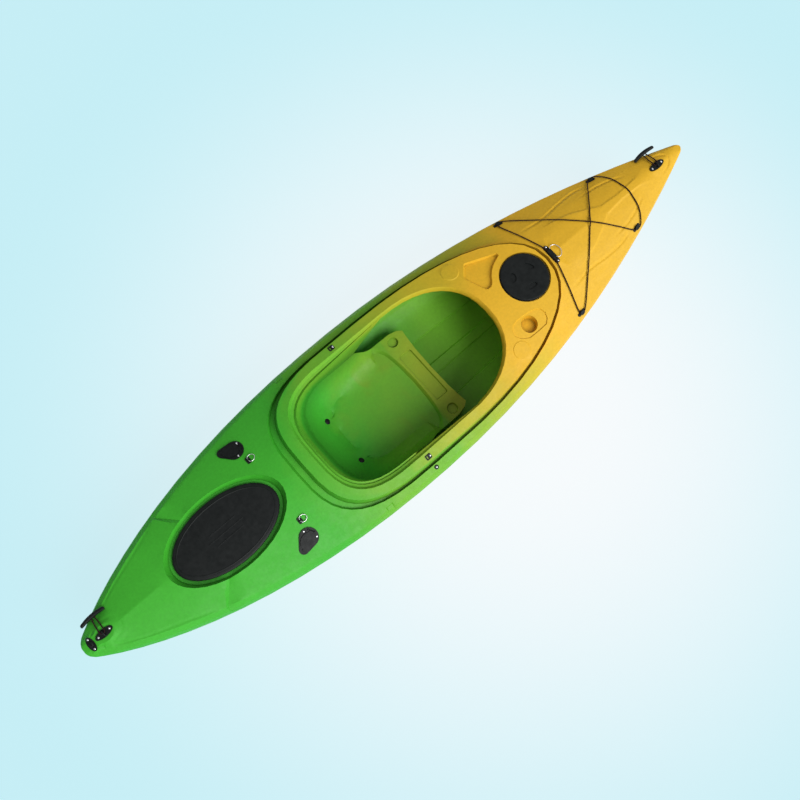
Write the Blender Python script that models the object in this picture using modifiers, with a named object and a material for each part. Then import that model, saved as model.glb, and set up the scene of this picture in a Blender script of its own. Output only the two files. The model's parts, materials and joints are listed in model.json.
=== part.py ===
# A rotomolded sit-in kayak, in metres: +X is the bow, +Y is port, +Z is up, and it stands on z = 0.

import math

import bmesh
import bpy
from mathutils import Matrix, Vector
from mathutils.bvhtree import BVHTree
from mathutils.geometry import delaunay_2d_cdt

# Hull outline in plan
beam_station = -0.080
half_beam = 0.353
bow_reach = 1.500
bow_cut = 0.030
bow_fullness = 2.0
bow_rounding = 0.98
stern_reach = 1.500
stern_cut = 0.030
stern_fullness = 2.2
stern_rounding = 0.82
stern_corner = 0.020

# Hull heights
gunwale_low = 0.208
gunwale_bow = 0.330
gunwale_stern = 0.300
bow_sheer_power = 2.7
stern_sheer_power = 1.8
deck_middle = 0.330
deck_bow_end = 0.336
deck_stern_end = 0.312
stern_drop_length = 0.120
deck_crown_power = 1.8
stern_crown_power = 1.25

# Hull bottom
stem_start = 0.450
stem_power = 4.0
stern_rise_start = -0.700
stern_rise_power = 3.0
stern_keel_end = 0.190
bilge_power = 0.72
flat_share = 0.455
keel_channel_half = 0.018
keel_channel_depth = 0.006
strake_height = 0.008
wall = 0.005

# Gunwale roll, measured inwards in plan and upwards
roll_inset = 0.007
roll_rise = 0.020
side_deck_inset = 0.018
bow_deck_inset = 0.040
stern_deck_inset = 0.026
shoulder_rise = 0.036

# Raised ring that carries the cockpit coaming and the console
ring_rear = -0.500
ring_front = 0.739
ring_half = half_beam - 0.058
ring_rear_centre = -0.100
ring_front_centre = 0.000
ring_rear_power = 3.15
ring_front_power = 2.3
ring_top = 0.340
ring_drop = 0.040
groove_depth = 0.017
groove_rear_width = 0.041
groove_side_width = 0.016
groove_rear_floor = (0.009, 0.031)
groove_side_floor = (0.006, 0.011)

# Cockpit opening
opening_rear = -0.456
opening_front = 0.430
opening_half = ring_half - 0.037
opening_rear_centre = -0.150
opening_front_centre = 0.100
opening_rear_power = 3.15
opening_front_power = 2.35
coaming_change = -0.020
coaming_change_length = 0.160
# Lines of the opening's edge: inset and drop round the seat, then inset and drop ahead of it
coaming_lines = (
    (0.0, 0.0, 0.0, 0.0), (0.009, 0.015, 0.004, 0.006), (0.017, 0.018, 0.006, 0.010),
    (0.020, 0.024, 0.0075, 0.016), (0.027, 0.020, 0.010, 0.022),
)

# Seat tub
seat_height = 0.078
seat_rear = -0.275
bolster_height = 0.112
bolster_rear = -0.325
hip_height = 0.175
hip_half = opening_half - 0.030
bolster_half = hip_half - 0.033
seat_half = bolster_half - 0.045
hip_rear = -0.383
hip_end = -0.065
tub_fade_end = 0.080
edge_lip_width = 0.003
edge_lip_drop = 0.020

# Thigh bar at the front of the seat
bar_height = 0.092
bar_front = 0.172
bar_half = opening_half - 0.042
bar_corner_front = 0.184
bar_panel_x = 0.127
bar_panel_length = 0.060
bar_panel_depth = 0.008
bar_dimple_radius = 0.023
bar_dimple_y = bar_half - 0.036
bar_panel_half = bar_dimple_y - 0.064
bar_dimple_depth = 0.010

# Stern hatch recess
hatch_x = ring_rear - 0.363
hatch_length = 0.455
hatch_width = 0.255
hatch_seat = 0.288
hatch_mouth_length = 0.515
hatch_mouth_width = 0.300
hatch_floor_length = 0.480
hatch_floor_width = 0.280
hatch_flange_length = 0.444
hatch_flange_width = 0.244
hatch_hole_length = 0.400
hatch_hole_width = 0.200
channel_depth = 0.0085
channel_marks = ((-0.171, 0.0), (-0.164, 1.0), (-0.122, 0.0))
channel_angles = (117.0, 112.6, 90.0)
channel_bulge = 0.008
roll_dip = 0.45

# Notches across the side decks, beside the coaming
notch_x = -0.349
notch_half = 0.012
notch_slope = 0.005
notch_depth = 0.006
notch_margin = 0.0025

# Round console hatch
plate_x = 0.6255
plate_radius = 0.0965
plate_seat = 0.330
plate_mouth_radius = 0.1025
plate_floor_radius = 0.1000
plate_hole_radius = 0.0780
plate_margin = 0.0015
plate_flange = 0.0024
plate_neck_wall = 0.0025
plate_neck_length = 0.0160
plate_lid_fit = 0.0010
plate_skirt_length = 0.0080
plate_lid_low = 0.0050
plate_lid_high = 0.0105
plate_seal_inner = 0.0800
plate_seal_outer = 0.0830

# Console tray and cup holder
tray_depth = 0.012
tray_draft = 0.006
cup_x = 0.512
cup_y = -0.1495
cup_radius = 0.034
cup_depth = 0.030
cup_surround_depth = 0.004
cup_draft = 0.004
boss_x = 0.422
boss_y = ring_half - 0.087
boss_radius = 0.037
boss_rise = 0.002

# Deck fittings
gap = 0.0003
screw_shank = 0.0018
screw_head = 0.0038
screw_hole = 0.0026
bow_eye_x = bow_reach - 0.138
eye_half_length = 0.037
eye_half_width = 0.0145
eye_base = 0.004
eye_screw_reach = 0.0245
eye_arch_radius = 0.0095
eye_arch_wire = 0.0033
cord_radius = 0.0025
toggle_cord_height = 0.0071
toggle_spread = 0.0095
toggle_level = 0.0165
toggle_reach = 0.0745
grip_radius = 0.0085
grip_length = 0.105
grip_end_radius = 0.0066
grip_bow = 0.0065
grip_spread = 0.0055
grip_offset = 0.0035
grip_clearance = 0.0015
drain_margin = 0.0077
drain_to_eye = 0.058
drain_half_width = 0.0285
drain_half_length = 0.0135
drain_base = 0.003
drain_bore = 0.0075
drain_neck = 0.0100
drain_neck_length = 0.014
rod_x = ring_rear - 0.165
rod_edge = 0.0955
rod_heading = math.radians(149.3)
rod_lean = math.radians(20)
rod_wide_end = -0.014
rod_wide_radius = 0.037
rod_narrow_end = 0.034
rod_narrow_radius = 0.018
rod_flange = 0.004
rod_outer = 0.0250
rod_inner = 0.0222
rod_length = 0.200
rod_plug_skirt = 0.012
rod_plug_wall = 0.0022
rear_hook_x = 0.728
front_hook_x = bow_reach - 0.370
hook_edge = 0.0235
hook_half_length = 0.020
hook_half_width = 0.0065
hook_base = 0.0030
hook_post = 0.0045
hook_cap_low = 0.0088
hook_cap_high = 0.0112
hook_bend = 0.0075
hook_cord_height = 0.0058
bow_loop = (
    (0.038, 0.867), (0.046, 0.777), (0.053, 0.658), (0.058, 0.523), (0.061, 0.374),
    (0.063, 0.224), (0.0645, 0.112), (0.065, 0.0),
)
centre_x = 0.7705
centre_half_width = 0.042
centre_block_half = 0.020
side_ring_ahead = 0.027
side_ring_beside = 0.072
side_ring_width = 0.028
side_ring_length = 0.028
centre_ring_width = 0.058
centre_ring_length = 0.037
coaming_tab_x = -0.124
coaming_tab_y = ring_half - 0.018
leash_x = -0.118
leash_edge = 0.0302
bung_x = -0.292
bung_y = 0.102
bung_radius = 0.0125
rail_rear = 0.620
rail_front = 0.960
rail_height = 0.120
rail_stand_off = 0.020

# Raised spine along the bow deck, as half-widths at shares of its length
spine_start = 0.830
spine_end = bow_eye_x - 0.052
spine_rise = 0.003
spine_widths = (
    (0.0, 0.112), (0.104, 0.100), (0.250, 0.080), (0.396, 0.045), (0.479, 0.022),
    (0.667, 0.014), (0.875, 0.018), (1.0, 0.026),
)

station_count = 14
ring_count = 44


def clamp(value, low=0.0, high=1.0):
    return max(low, min(high, value))


def smooth(value):
    value = clamp(value)
    return value * value * (3 - 2 * value)


def mix(a, b, share):
    return a + (b - a) * share


# Outline and heights of the hull


def outline_share(x):
    """How far x lies from the widest station towards the end on its side, from 0 to 1."""
    if x >= beam_station:
        return clamp((x - beam_station) / (bow_reach - beam_station))
    return clamp((beam_station - x) / (beam_station + stern_reach))


def free_beam_at(x):
    """Half-width of the outline before its ends are cut and rounded."""
    if x >= beam_station:
        share = (x - beam_station) / (bow_reach + bow_cut - beam_station)
        return half_beam * (1 - share**bow_fullness) ** bow_rounding
    share = (beam_station - x) / (beam_station + stern_reach + stern_cut)
    return half_beam * (1 - share**stern_fullness) ** stern_rounding


def end_rounding(x):
    """Distance to the nearer end, and the radius at which the outline turns in there."""
    if x >= beam_station:
        return max(0.0, bow_reach - x), free_beam_at(bow_reach)
    return max(0.0, x + stern_reach), stern_corner


def beam_at(x):
    distance, radius = end_rounding(x)
    if distance >= radius:
        return free_beam_at(x)
    arc = math.sqrt(radius**2 - (radius - distance) ** 2)
    return max(0.0, free_beam_at(x) - radius + arc)


def gunwale_at(x):
    share = outline_share(x)
    if x >= beam_station:
        return mix(gunwale_low, gunwale_bow, share**bow_sheer_power)
    return mix(gunwale_low, gunwale_stern, share**stern_sheer_power)


def keel_at(x):
    if x > stem_start:
        share = (x - stem_start) / (bow_reach - stem_start)
        return gunwale_bow * (1 - math.sqrt(max(0.0, 1 - clamp(share) ** stem_power)))
    if x < stern_rise_start:
        share = (stern_rise_start - x) / (stern_reach + stern_rise_start)
        return stern_keel_end * clamp(share) ** stern_rise_power
    return 0.0


def ridge_at(x):
    """Height of the deck on the centreline."""
    if x < 0:
        end = smooth((stern_drop_length - stern_reach - x) / stern_drop_length)
        return mix(deck_middle, deck_stern_end, end)
    return mix(deck_middle, deck_bow_end, smooth(x / bow_reach))


def deck_inset_at(x):
    """Width in plan of the rolled edge between the gunwale and the deck's shoulder."""
    bow = smooth((x - 0.35) / 0.35)
    stern = smooth((-0.35 - x) / 0.35)
    inset = side_deck_inset
    inset = mix(inset, bow_deck_inset, bow)
    inset = mix(inset, stern_deck_inset, stern)
    return min(inset, 0.32 * beam_at(x))


def shoulder_at(x):
    """Half-width and height of the deck's shoulder."""
    rise = min(shoulder_rise, 0.6 * (ridge_at(x) - gunwale_at(x)))
    return beam_at(x) - deck_inset_at(x), gunwale_at(x) + rise


def roll_at(x):
    """Half-width and height of the middle of the rolled edge."""
    inset = min(roll_inset, 0.15 * beam_at(x))
    rise = min(roll_rise, 0.35 * (ridge_at(x) - gunwale_at(x)))
    return beam_at(x) - inset, gunwale_at(x) + rise


def deck_at(x, y):
    """Height of the deck, crowned from shoulder to shoulder and rolled over at its edge."""
    across = abs(y)
    ridge = smooth((hatch_x - hatch_mouth_length / 2 + 0.08 - x) / 0.16)
    power = mix(deck_crown_power, stern_crown_power, ridge)
    shoulder, shoulder_height = shoulder_at(x)
    roll, roll_height = roll_at(x)
    if across <= shoulder:
        share = (across / shoulder) ** power
        return mix(ridge_at(x), shoulder_height, share)
    share = (across - shoulder) / (roll - shoulder)
    return mix(shoulder_height, roll_height, share)


def ring_top_at(x, y):
    return ring_top - ring_drop * (y / opening_half) ** 2


def spine_half(x):
    """Half-width of the raised spine that runs along the bow deck."""
    share = (x - spine_start) / (spine_end - spine_start)
    for (share0, half0), (share1, half1) in zip(spine_widths, spine_widths[1:]):
        if share <= share1:
            return mix(half0, half1, clamp((share - share0) / (share1 - share0)))
    return spine_widths[-1][1]


def spine_at(x, y):
    """Height of the bow deck with its spine."""
    share = smooth((x - spine_start) / 0.05) * smooth((spine_end - x) / 0.04)
    across = clamp((spine_half(x) + 0.004 - abs(y)) / 0.008)
    return deck_at(x, y) + spine_rise * share * across


# Plan outlines


def egg(rear, rear_centre, rear_power, front, front_centre, front_power, half, count):
    """A closed outline, squarer or rounder at each end, that starts at its front point."""
    points = []
    for k in range(count):
        angle = 2 * math.pi * k / count
        c = math.cos(angle)
        s = math.sin(angle)
        power = front_power if c >= 0 else rear_power
        centre = front_centre if c >= 0 else rear_centre
        reach = front - front_centre if c >= 0 else rear_centre - rear
        x = centre + reach * math.copysign(abs(c) ** (2 / power), c)
        y = half * math.copysign(abs(s) ** (2 / power), s)
        points.append((x, y))
    return points


def oval(x, y, half_length, half_width, count, turn=0.0):
    points = []
    for k in range(count):
        angle = 2 * math.pi * (k + 0.5) / count
        along = half_length * math.cos(angle)
        across = half_width * math.sin(angle)
        px = x + along * math.cos(turn) - across * math.sin(turn)
        py = y + along * math.sin(turn) + across * math.cos(turn)
        points.append((px, py))
    return points


def rounded_box(half_length, half_width, radius, steps=3):
    """A rectangle round the origin with rounded corners."""
    points = []
    for corner in range(4):
        sx = (1, -1, -1, 1)[corner]
        sy = (1, 1, -1, -1)[corner]
        for k in range(steps + 1):
            angle = math.pi / 2 * (corner + k / steps)
            x = sx * (half_length - radius) + radius * math.cos(angle)
            y = sy * (half_width - radius) + radius * math.sin(angle)
            points.append((x, y))
    return points


def inset(outline, distance):
    """The same anticlockwise outline drawn in by a distance."""
    points = []
    count = len(outline)
    for k in range(count):
        before = Vector(outline[k - 1])
        here = Vector(outline[k])
        after = Vector(outline[(k + 1) % count])
        one = (here - before).normalized()
        two = (after - here).normalized()
        normal = Vector((-one.y - two.y, one.x + two.x)).normalized()
        reach = distance / max(0.5, normal.dot(Vector((-one.y, one.x))))
        points.append(tuple(here + normal * reach))
    return points


def inside(point, polygon):
    x, y = point
    found = False
    for k in range(len(polygon)):
        x0, y0 = polygon[k - 1][:2]
        x1, y1 = polygon[k][:2]
        if (y0 > y) != (y1 > y) and x < x0 + (x1 - x0) * (y - y0) / (y1 - y0):
            found = not found
    return found


def grown_ring(grow, rear_grow=None):
    rear_grow = grow if rear_grow is None else rear_grow
    return egg(
        ring_rear - rear_grow, ring_rear_centre, ring_rear_power,
        ring_front + grow, ring_front_centre, ring_front_power,
        ring_half + grow, ring_count,
    )


def shrunk_opening(inset):
    return egg(
        opening_rear + inset, opening_rear_centre, opening_rear_power,
        opening_front - inset, opening_front_centre, opening_front_power,
        opening_half - inset, ring_count,
    )


def coaming_line(seat_inset, seat_drop, front_inset, front_drop):
    """A line round the opening, which steps down more behind the seat than ahead of it."""
    line = []
    for round_seat, ahead in zip(shrunk_opening(seat_inset), shrunk_opening(front_inset)):
        share = smooth((coaming_change - ahead[0]) / coaming_change_length)
        x = mix(ahead[0], round_seat[0], share)
        y = mix(ahead[1], round_seat[1], share)
        line.append((x, y, ring_top_at(x, y) - mix(front_drop, seat_drop, share)))
    return line


class Pad:
    """A flat place moulded in the skin, and the frame in which its fitting stands."""

    def __init__(self, surface, x, y, outline, holes=(), heading=0.0):
        step = 0.004
        slope_x = (surface(x + step, y) - surface(x - step, y)) / (2 * step)
        slope_y = (surface(x, y + step) - surface(x, y - step)) / (2 * step)
        normal = Vector((-slope_x, -slope_y, 1)).normalized()
        along = Vector((math.cos(heading), math.sin(heading), 0))
        along = (along - normal * along.dot(normal)).normalized()
        self.frame = Matrix((along, normal.cross(along), normal)).transposed().to_4x4()
        self.frame.translation = Vector((x, y, surface(x, y)))
        self.outline = outline
        self.holes = holes

    def at(self, u, v, w=0.0):
        return self.frame @ Vector((u, v, w))

    def ring(self, outline):
        return [tuple(self.at(u, v)) for u, v in outline]


class Skin:
    """Lines drawn in plan with their heights, later filled with triangles between them."""

    def __init__(self):
        self.points = []
        self.edges = []
        self.holes = []
        self.keep_clear = []

    def line(self, points, closed=True):
        first = len(self.points)
        self.points += [Vector(point) for point in points]
        count = len(points)
        for k in range(count if closed else count - 1):
            self.edges.append((first + k, first + (k + 1) % count))

    def mirrored_line(self, points):
        """An open line that starts at port and ends on the centreline, and its other half."""
        other = [(x, -y, z) for x, y, z in reversed(points) if abs(y) > 1e-6]
        self.line(list(points) + other, closed=False)

    def pad(self, pad):
        outline = pad.ring(pad.outline)
        self.line(outline)
        self.keep_clear.append(outline)
        for hole in pad.holes:
            self.hole(pad.ring(hole))

    def hole(self, points):
        self.line(points)
        self.holes.append(points)

    def scatter(self, points):
        for x, y, z in points:
            if not any(inside((x, y), outline) for outline in self.keep_clear):
                self.points.append(Vector((x, y, z)))

    def triangles(self, border):
        flat = [Vector((point.x, point.y)) for point in self.points]
        found, _, faces, sources, _, _ = delaunay_2d_cdt(flat, self.edges, [], 0, 1e-6)
        corners = []
        for place, ids in zip(found, sources):
            if ids:
                corners.append(self.points[ids[0]])
                continue
            near = sorted(self.points, key=lambda point: (point.xy - place).length)[:2]
            corners.append(Vector((place.x, place.y, (near[0].z + near[1].z) / 2)))
        kept = []
        for face in faces:
            middle = sum((found[k] for k in face), Vector((0, 0))) / 3
            if not inside(middle, border):
                continue
            if any(inside(middle, hole) for hole in self.holes):
                continue
            a, b, c = (found[k] for k in face)
            turn = (b - a).cross(c - a)
            kept.append(tuple(face) if turn > 0 else tuple(reversed(face)))
        return corners, kept


def stations():
    """Where the hull's sections stand, closer together towards both ends."""
    places = []
    for side, reach in ((-1, beam_station + stern_reach), (1, bow_reach - beam_station)):
        for k in range(1, station_count + 1):
            share = k / station_count
            share = 0.3 * share + 0.7 * math.sin(share * math.pi / 2)
            places.append(beam_station + side * reach * share)
        end = beam_station + side * reach
        radius = end_rounding(end)[1]
        places += [end - side * radius * share for share in (0.08, 0.35, 1.0)]
    return sorted(places + [beam_station])


def half_section(x):
    """The hull from its keel to the gunwale, as (half-width, height)."""
    beam = beam_at(x)
    base = keel_at(x)
    fade = smooth((1.2 - abs(x)) / 0.5)
    scale = beam / half_beam
    flat = flat_share * beam
    channel = keel_channel_half * scale
    points = [
        (0.0, base + keel_channel_depth * fade),
        (channel, base + keel_channel_depth * fade),
        (channel * 1.4, base),
        (flat - 0.02 * scale, base),
        (flat - 0.014 * scale, base + strake_height * fade),
        (flat, base + strake_height * fade * 1.25),
    ]
    start = points[-1]
    top = gunwale_at(x)
    steps = 5
    for k in range(1, steps + 1):
        angle = math.pi / 2 * k / steps
        y = mix(start[0], beam, math.sin(angle) ** bilge_power)
        z = mix(start[1], top, 1 - math.cos(angle) ** bilge_power)
        points.append((y, z))
    return points


def hull_skin(mesh):
    """The bottom and sides, lofted from section to section."""
    rows = []
    places = stations()
    for x in places:
        half = half_section(x)
        if x > bow_reach - 1e-6:
            half = [(0.0, z) for y, z in half]
        port = [(x, y, z) for y, z in reversed(half)]
        starboard = [(x, -y, z) for y, z in half[1:]]
        rows.append([mesh.verts.new(point) for point in port + starboard])
    for aft, fore in zip(rows, rows[1:]):
        for k in range(len(aft) - 1):
            mesh.faces.new((aft[k], fore[k], fore[k + 1], aft[k + 1]))
    top = mesh.verts.new((places[0], 0, gunwale_at(places[0])))
    mesh.faces.new([top] + rows[0])


def tub_fade(x):
    return 1 - smooth((x - hip_end) / (tub_fade_end - hip_end))


def tub_line(rear, half, height, end):
    """One height line of the tub: back along port, round the back and forward again."""
    outline = egg(rear, opening_rear_centre, 3.0, 0.3, 0.0, 3.0, half, 40)
    line = [(end, half)]
    line += [point for point in outline if point[0] < opening_rear_centre + 1e-6]
    line.append((end, -half))
    return [(x, y, mix(seat_height, height, tub_fade(x))) for x, y in line]


def seat_edge(lip):
    """The free edge of the seat and its bar, from the port end of the coaming to starboard."""
    side = [
        (-0.045, bar_half + 0.016), (-0.022, bar_half + 0.008), (0.000, bar_half + 0.002),
        (0.020, bar_half), (0.040, bar_half), (0.080, bar_half), (0.130, bar_half - 0.001),
        (0.165, bar_half - 0.010), (bar_corner_front, bar_half - 0.024),
        (bar_corner_front - 0.004, bar_half - 0.055), (bar_front + 0.002, 0.100), (bar_front, 0.0),
    ]
    points = []
    for x, y in side:
        share = clamp((y - bolster_half) / (hip_half - bolster_half))
        height = mix(seat_height, mix(bolster_height, hip_height, share), tub_fade(x))
        height = max(height, bar_height)
        ahead = smooth((x - 0.10) / 0.08)
        full = smooth((x + 0.022) / 0.060) if lip else 0.0
        width = edge_lip_width * full
        side_width = width * (1 - ahead) if y > 0 else 0.0
        points.append((x + width * ahead, y + side_width, height - edge_lip_drop * full))
    return points


def ring_line(skin, outline, surface, drop):
    skin.line([(x, y, surface(x, y) - drop) for x, y in outline])


def deck_rows(skin, first, last, step):
    """Points that give the deck its crown between the other lines."""
    count = round((last - first) / step)
    for k in range(count + 1):
        x = mix(first, last, k / count)
        shoulder = shoulder_at(x)[0]
        for share in (-0.90, -0.66, -0.36, 0.0, 0.36, 0.66, 0.90):
            skin.scatter([(x, share * shoulder, spine_at(x, share * shoulder))])


def edge_point(edge, x, drop):
    half, height = edge(x)
    return x, half, height - drop


def dipped_edge(edge, share):
    """A line along the port edge of the deck, dipped where the channels run out over it."""
    outer = notch_half + notch_slope
    channels = (
        [(hatch_x + reach, channel_depth * depth) for reach, depth in channel_marks],
        [(notch_x - outer, 0.0), (notch_x - notch_half, notch_depth),
         (notch_x + notch_half, notch_depth), (notch_x + outer, 0.0)],
    )
    marks = [mark for channel in channels for mark in channel]
    for x in stations()[1:-1]:
        if not any(channel[0][0] <= x <= channel[-1][0] for channel in channels):
            marks.append((x, 0.0))
    return [edge_point(edge, x, drop * share) for x, drop in sorted(marks)]


def side_notches(skin):
    """Shallow notches across each side deck, from beside the groove to the shoulder."""
    inner = max(grown_ring(groove_side_width, groove_rear_width), key=lambda point: point[1])[1]
    for reach, margin, drop in (
        (notch_half + notch_slope, notch_margin, 0.0),
        (notch_half, 2 * notch_margin, notch_depth),
    ):
        start = edge_point(shoulder_at, notch_x - reach, drop)
        end = edge_point(shoulder_at, notch_x + reach, drop)
        across = inner + margin
        line = [start]
        line += [(x, across, deck_at(x, across) - drop) for x in (start[0], end[0])]
        line.append(end)
        for side in (1, -1):
            skin.line([(x, side * y, z) for x, y, z in line], closed=False)


def hatch_well(skin):
    """The sunken seat of the stern hatch, its opening and the two drain channels beside it."""
    angles = [2 * math.pi * (k + 0.5) / 36 for k in range(36)]
    drains = [math.radians(degrees) for degrees in channel_angles]
    floor_angle = drains[1]
    turns = [a for a in angles if all(abs(a - d) > 0.035 for d in drains) and a < math.pi]
    turns = sorted([*turns, *drains])
    turns += [2 * math.pi - a for a in reversed(turns)]
    mouth = []
    for angle in turns:
        x = hatch_x + hatch_mouth_length / 2 * math.cos(angle)
        y = hatch_mouth_width / 2 * math.sin(angle)
        near = min(angle, 2 * math.pi - angle)
        drop = channel_depth if abs(near - floor_angle) < 1e-6 else 0.0
        mouth.append((x, y, deck_at(x, y) - drop))
    skin.line(mouth)
    skin.keep_clear.append(mouth)
    spots = {}
    for angle, (x, y, z) in zip(turns, mouth):
        if angle in drains:
            spots[angle] = (x, y, z)
    runs = []
    for angle, mark in zip(drains, channel_marks):
        x, y = spots[angle][:2]
        end = edge_point(shoulder_at, hatch_x + mark[0], channel_depth * mark[1])
        bulge = channel_bulge if angle == drains[-1] else 0.0
        run = [spots[angle]]
        for share in (0.33, 0.66):
            along = mix(x, end[0], share)
            across = mix(y, end[1], share) - bulge * 4 * share * (1 - share)
            run.append((along, across, deck_at(along, across) - channel_depth * mark[1]))
        run.append(end)
        run.append(edge_point(roll_at, end[0], channel_depth * mark[1] * roll_dip))
        runs.append(run)
    for side in (1, -1):
        for run in runs:
            skin.line([(x, side * y, z) for x, y, z in run], closed=False)
        area = [*runs[0][:-1], *reversed(runs[-1][:-1])]
        skin.keep_clear.append([(x, side * y) for x, y, z in area])
    floor = oval(hatch_x, 0, hatch_floor_length / 2, hatch_floor_width / 2, 36)
    skin.line([(x, y, hatch_seat) for x, y in floor])
    opening = oval(hatch_x, 0, hatch_hole_length / 2, hatch_hole_width / 2, 32)
    skin.hole([(x, y, hatch_seat) for x, y in opening])


def console_forms(skin):
    """The round hatch's seat, the tray, the cup holder and the two round bosses."""
    ring_line(skin, oval(plate_x, 0, plate_mouth_radius, plate_mouth_radius, 36), ring_top_at, 0.0)
    for radius, is_hole in ((plate_floor_radius, False), (plate_hole_radius, True)):
        outline = oval(plate_x, 0, radius, radius, 36)
        points = [(x, y, plate_seat) for x, y in outline]
        if is_hole:
            skin.hole(points)
        else:
            skin.line(points)
    ring_line(skin, tray_outline(), ring_top_at, 0.0)
    ring_line(skin, inset(tray_outline(), tray_draft), ring_top_at, tray_depth)
    ring_line(skin, cup_surround(), ring_top_at, 0.0)
    ring_line(skin, inset(cup_surround(), 0.0025), ring_top_at, cup_surround_depth)
    rim = oval(cup_x, cup_y, cup_radius, cup_radius, 20)
    ring_line(skin, rim, ring_top_at, cup_surround_depth)
    low = cup_radius - cup_draft
    depth = cup_surround_depth + cup_depth
    skin.line([
        (x, y, ring_top_at(cup_x, cup_y) - depth) for x, y in oval(cup_x, cup_y, low, low, 20)
    ])
    for side in (1, -1):
        base = oval(boss_x, side * boss_y, boss_radius, boss_radius, 20)
        ring_line(skin, base, ring_top_at, 0.0)
        top = oval(boss_x, side * boss_y, boss_radius - 0.003, boss_radius - 0.003, 20)
        ring_line(skin, top, ring_top_at, -boss_rise)


def tray_outline():
    points = [
        (0.611, 0.1455), (0.600, 0.1500), (0.492, 0.1960), (0.483, 0.1960), (0.477, 0.1880),
        (0.447, 0.1560), (0.444, 0.1450), (0.474, 0.0610), (0.482, 0.0545), (0.497, 0.0540),
        (0.506, 0.0590),
    ]
    for degrees in (148, 138, 128, 118, 108):
        angle = math.radians(degrees)
        points.append((plate_x + 0.129 * math.cos(angle), 0.129 * math.sin(angle)))
    points.append((0.6130, 0.1330))
    return points


def cup_surround():
    return [
        (0.592, -0.155), (0.586, -0.132), (0.566, -0.117), (0.540, -0.1115), (0.512, -0.1095),
        (0.480, -0.1080), (0.457, -0.113), (0.440, -0.128), (0.434, -0.150), (0.445, -0.170),
        (0.462, -0.184), (0.480, -0.1925), (0.520, -0.1940), (0.566, -0.193), (0.584, -0.178),
    ]


def seat_forms(skin):
    """The front of the seat, the thigh bar behind its edge and the recesses in the bar."""
    front = [(0.030, 0.016), (0.052, 0.031), (0.064, 0.056), (0.070, 0.086), (0.076, 0.136)]
    rear = [(0.040, 0.0), (0.060, 0.024), (0.073, 0.053), (0.080, 0.084), (0.086, 0.136)]
    for line, end, height in ((front, 0.079, seat_height), (rear, 0.089, bar_height)):
        points = [(x, bar_half - inwards, height) for x, inwards in line]
        skin.mirrored_line([*points, (end, 0.0, height)])
    for shrink, drop in ((0.0, 0.0), (0.003, bar_panel_depth)):
        box = rounded_box(bar_panel_length / 2 - shrink, bar_panel_half - shrink, 0.008 - shrink, 2)
        skin.line([(bar_panel_x + x, y, bar_height - drop) for x, y in box])
    for side in (1, -1):
        for shrink, drop in ((0.0, 0.0), (0.004, bar_dimple_depth)):
            radius = bar_dimple_radius - shrink
            dimple = oval(bar_panel_x - 0.005, side * bar_dimple_y, radius, radius, 16)
            skin.line([(x, y, bar_height - drop) for x, y in dimple])


def spine_forms(skin):
    """The low raised spine along the bow deck."""
    places = [mix(spine_start, spine_end, share) for share, _ in spine_widths]
    for side in (1, -1):
        for reach in (-0.004, 0.004):
            skin.line([
                (x, side * (spine_half(x) + reach), spine_at(x, spine_half(x) + reach))
                for x in places
            ], closed=False)


def tub_back_at(rear, half, y):
    return opening_rear_centre - (opening_rear_centre - rear) * (1 - (abs(y) / half) ** 3) ** (1 / 3)


def back_wall_at(x, y):
    """Height of the low back of the seat between its crease and the bolster."""
    crease = tub_back_at(seat_rear, seat_half, y)
    bolster = tub_back_at(bolster_rear, bolster_half, y)
    return mix(seat_height, bolster_height, (crease - x) / (crease - bolster))


def round_hole(u, v, radius=screw_hole, count=6):
    return oval(u, v, radius, radius, count)


def drain_station():
    """The place nearest the stern where the deck is wide enough for the drain."""
    aft = -stern_reach
    fore = beam_station
    for _ in range(40):
        middle = (aft + fore) / 2
        if shoulder_at(middle)[0] < drain_half_width + drain_margin:
            aft = middle
        else:
            fore = middle
    return fore


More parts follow.
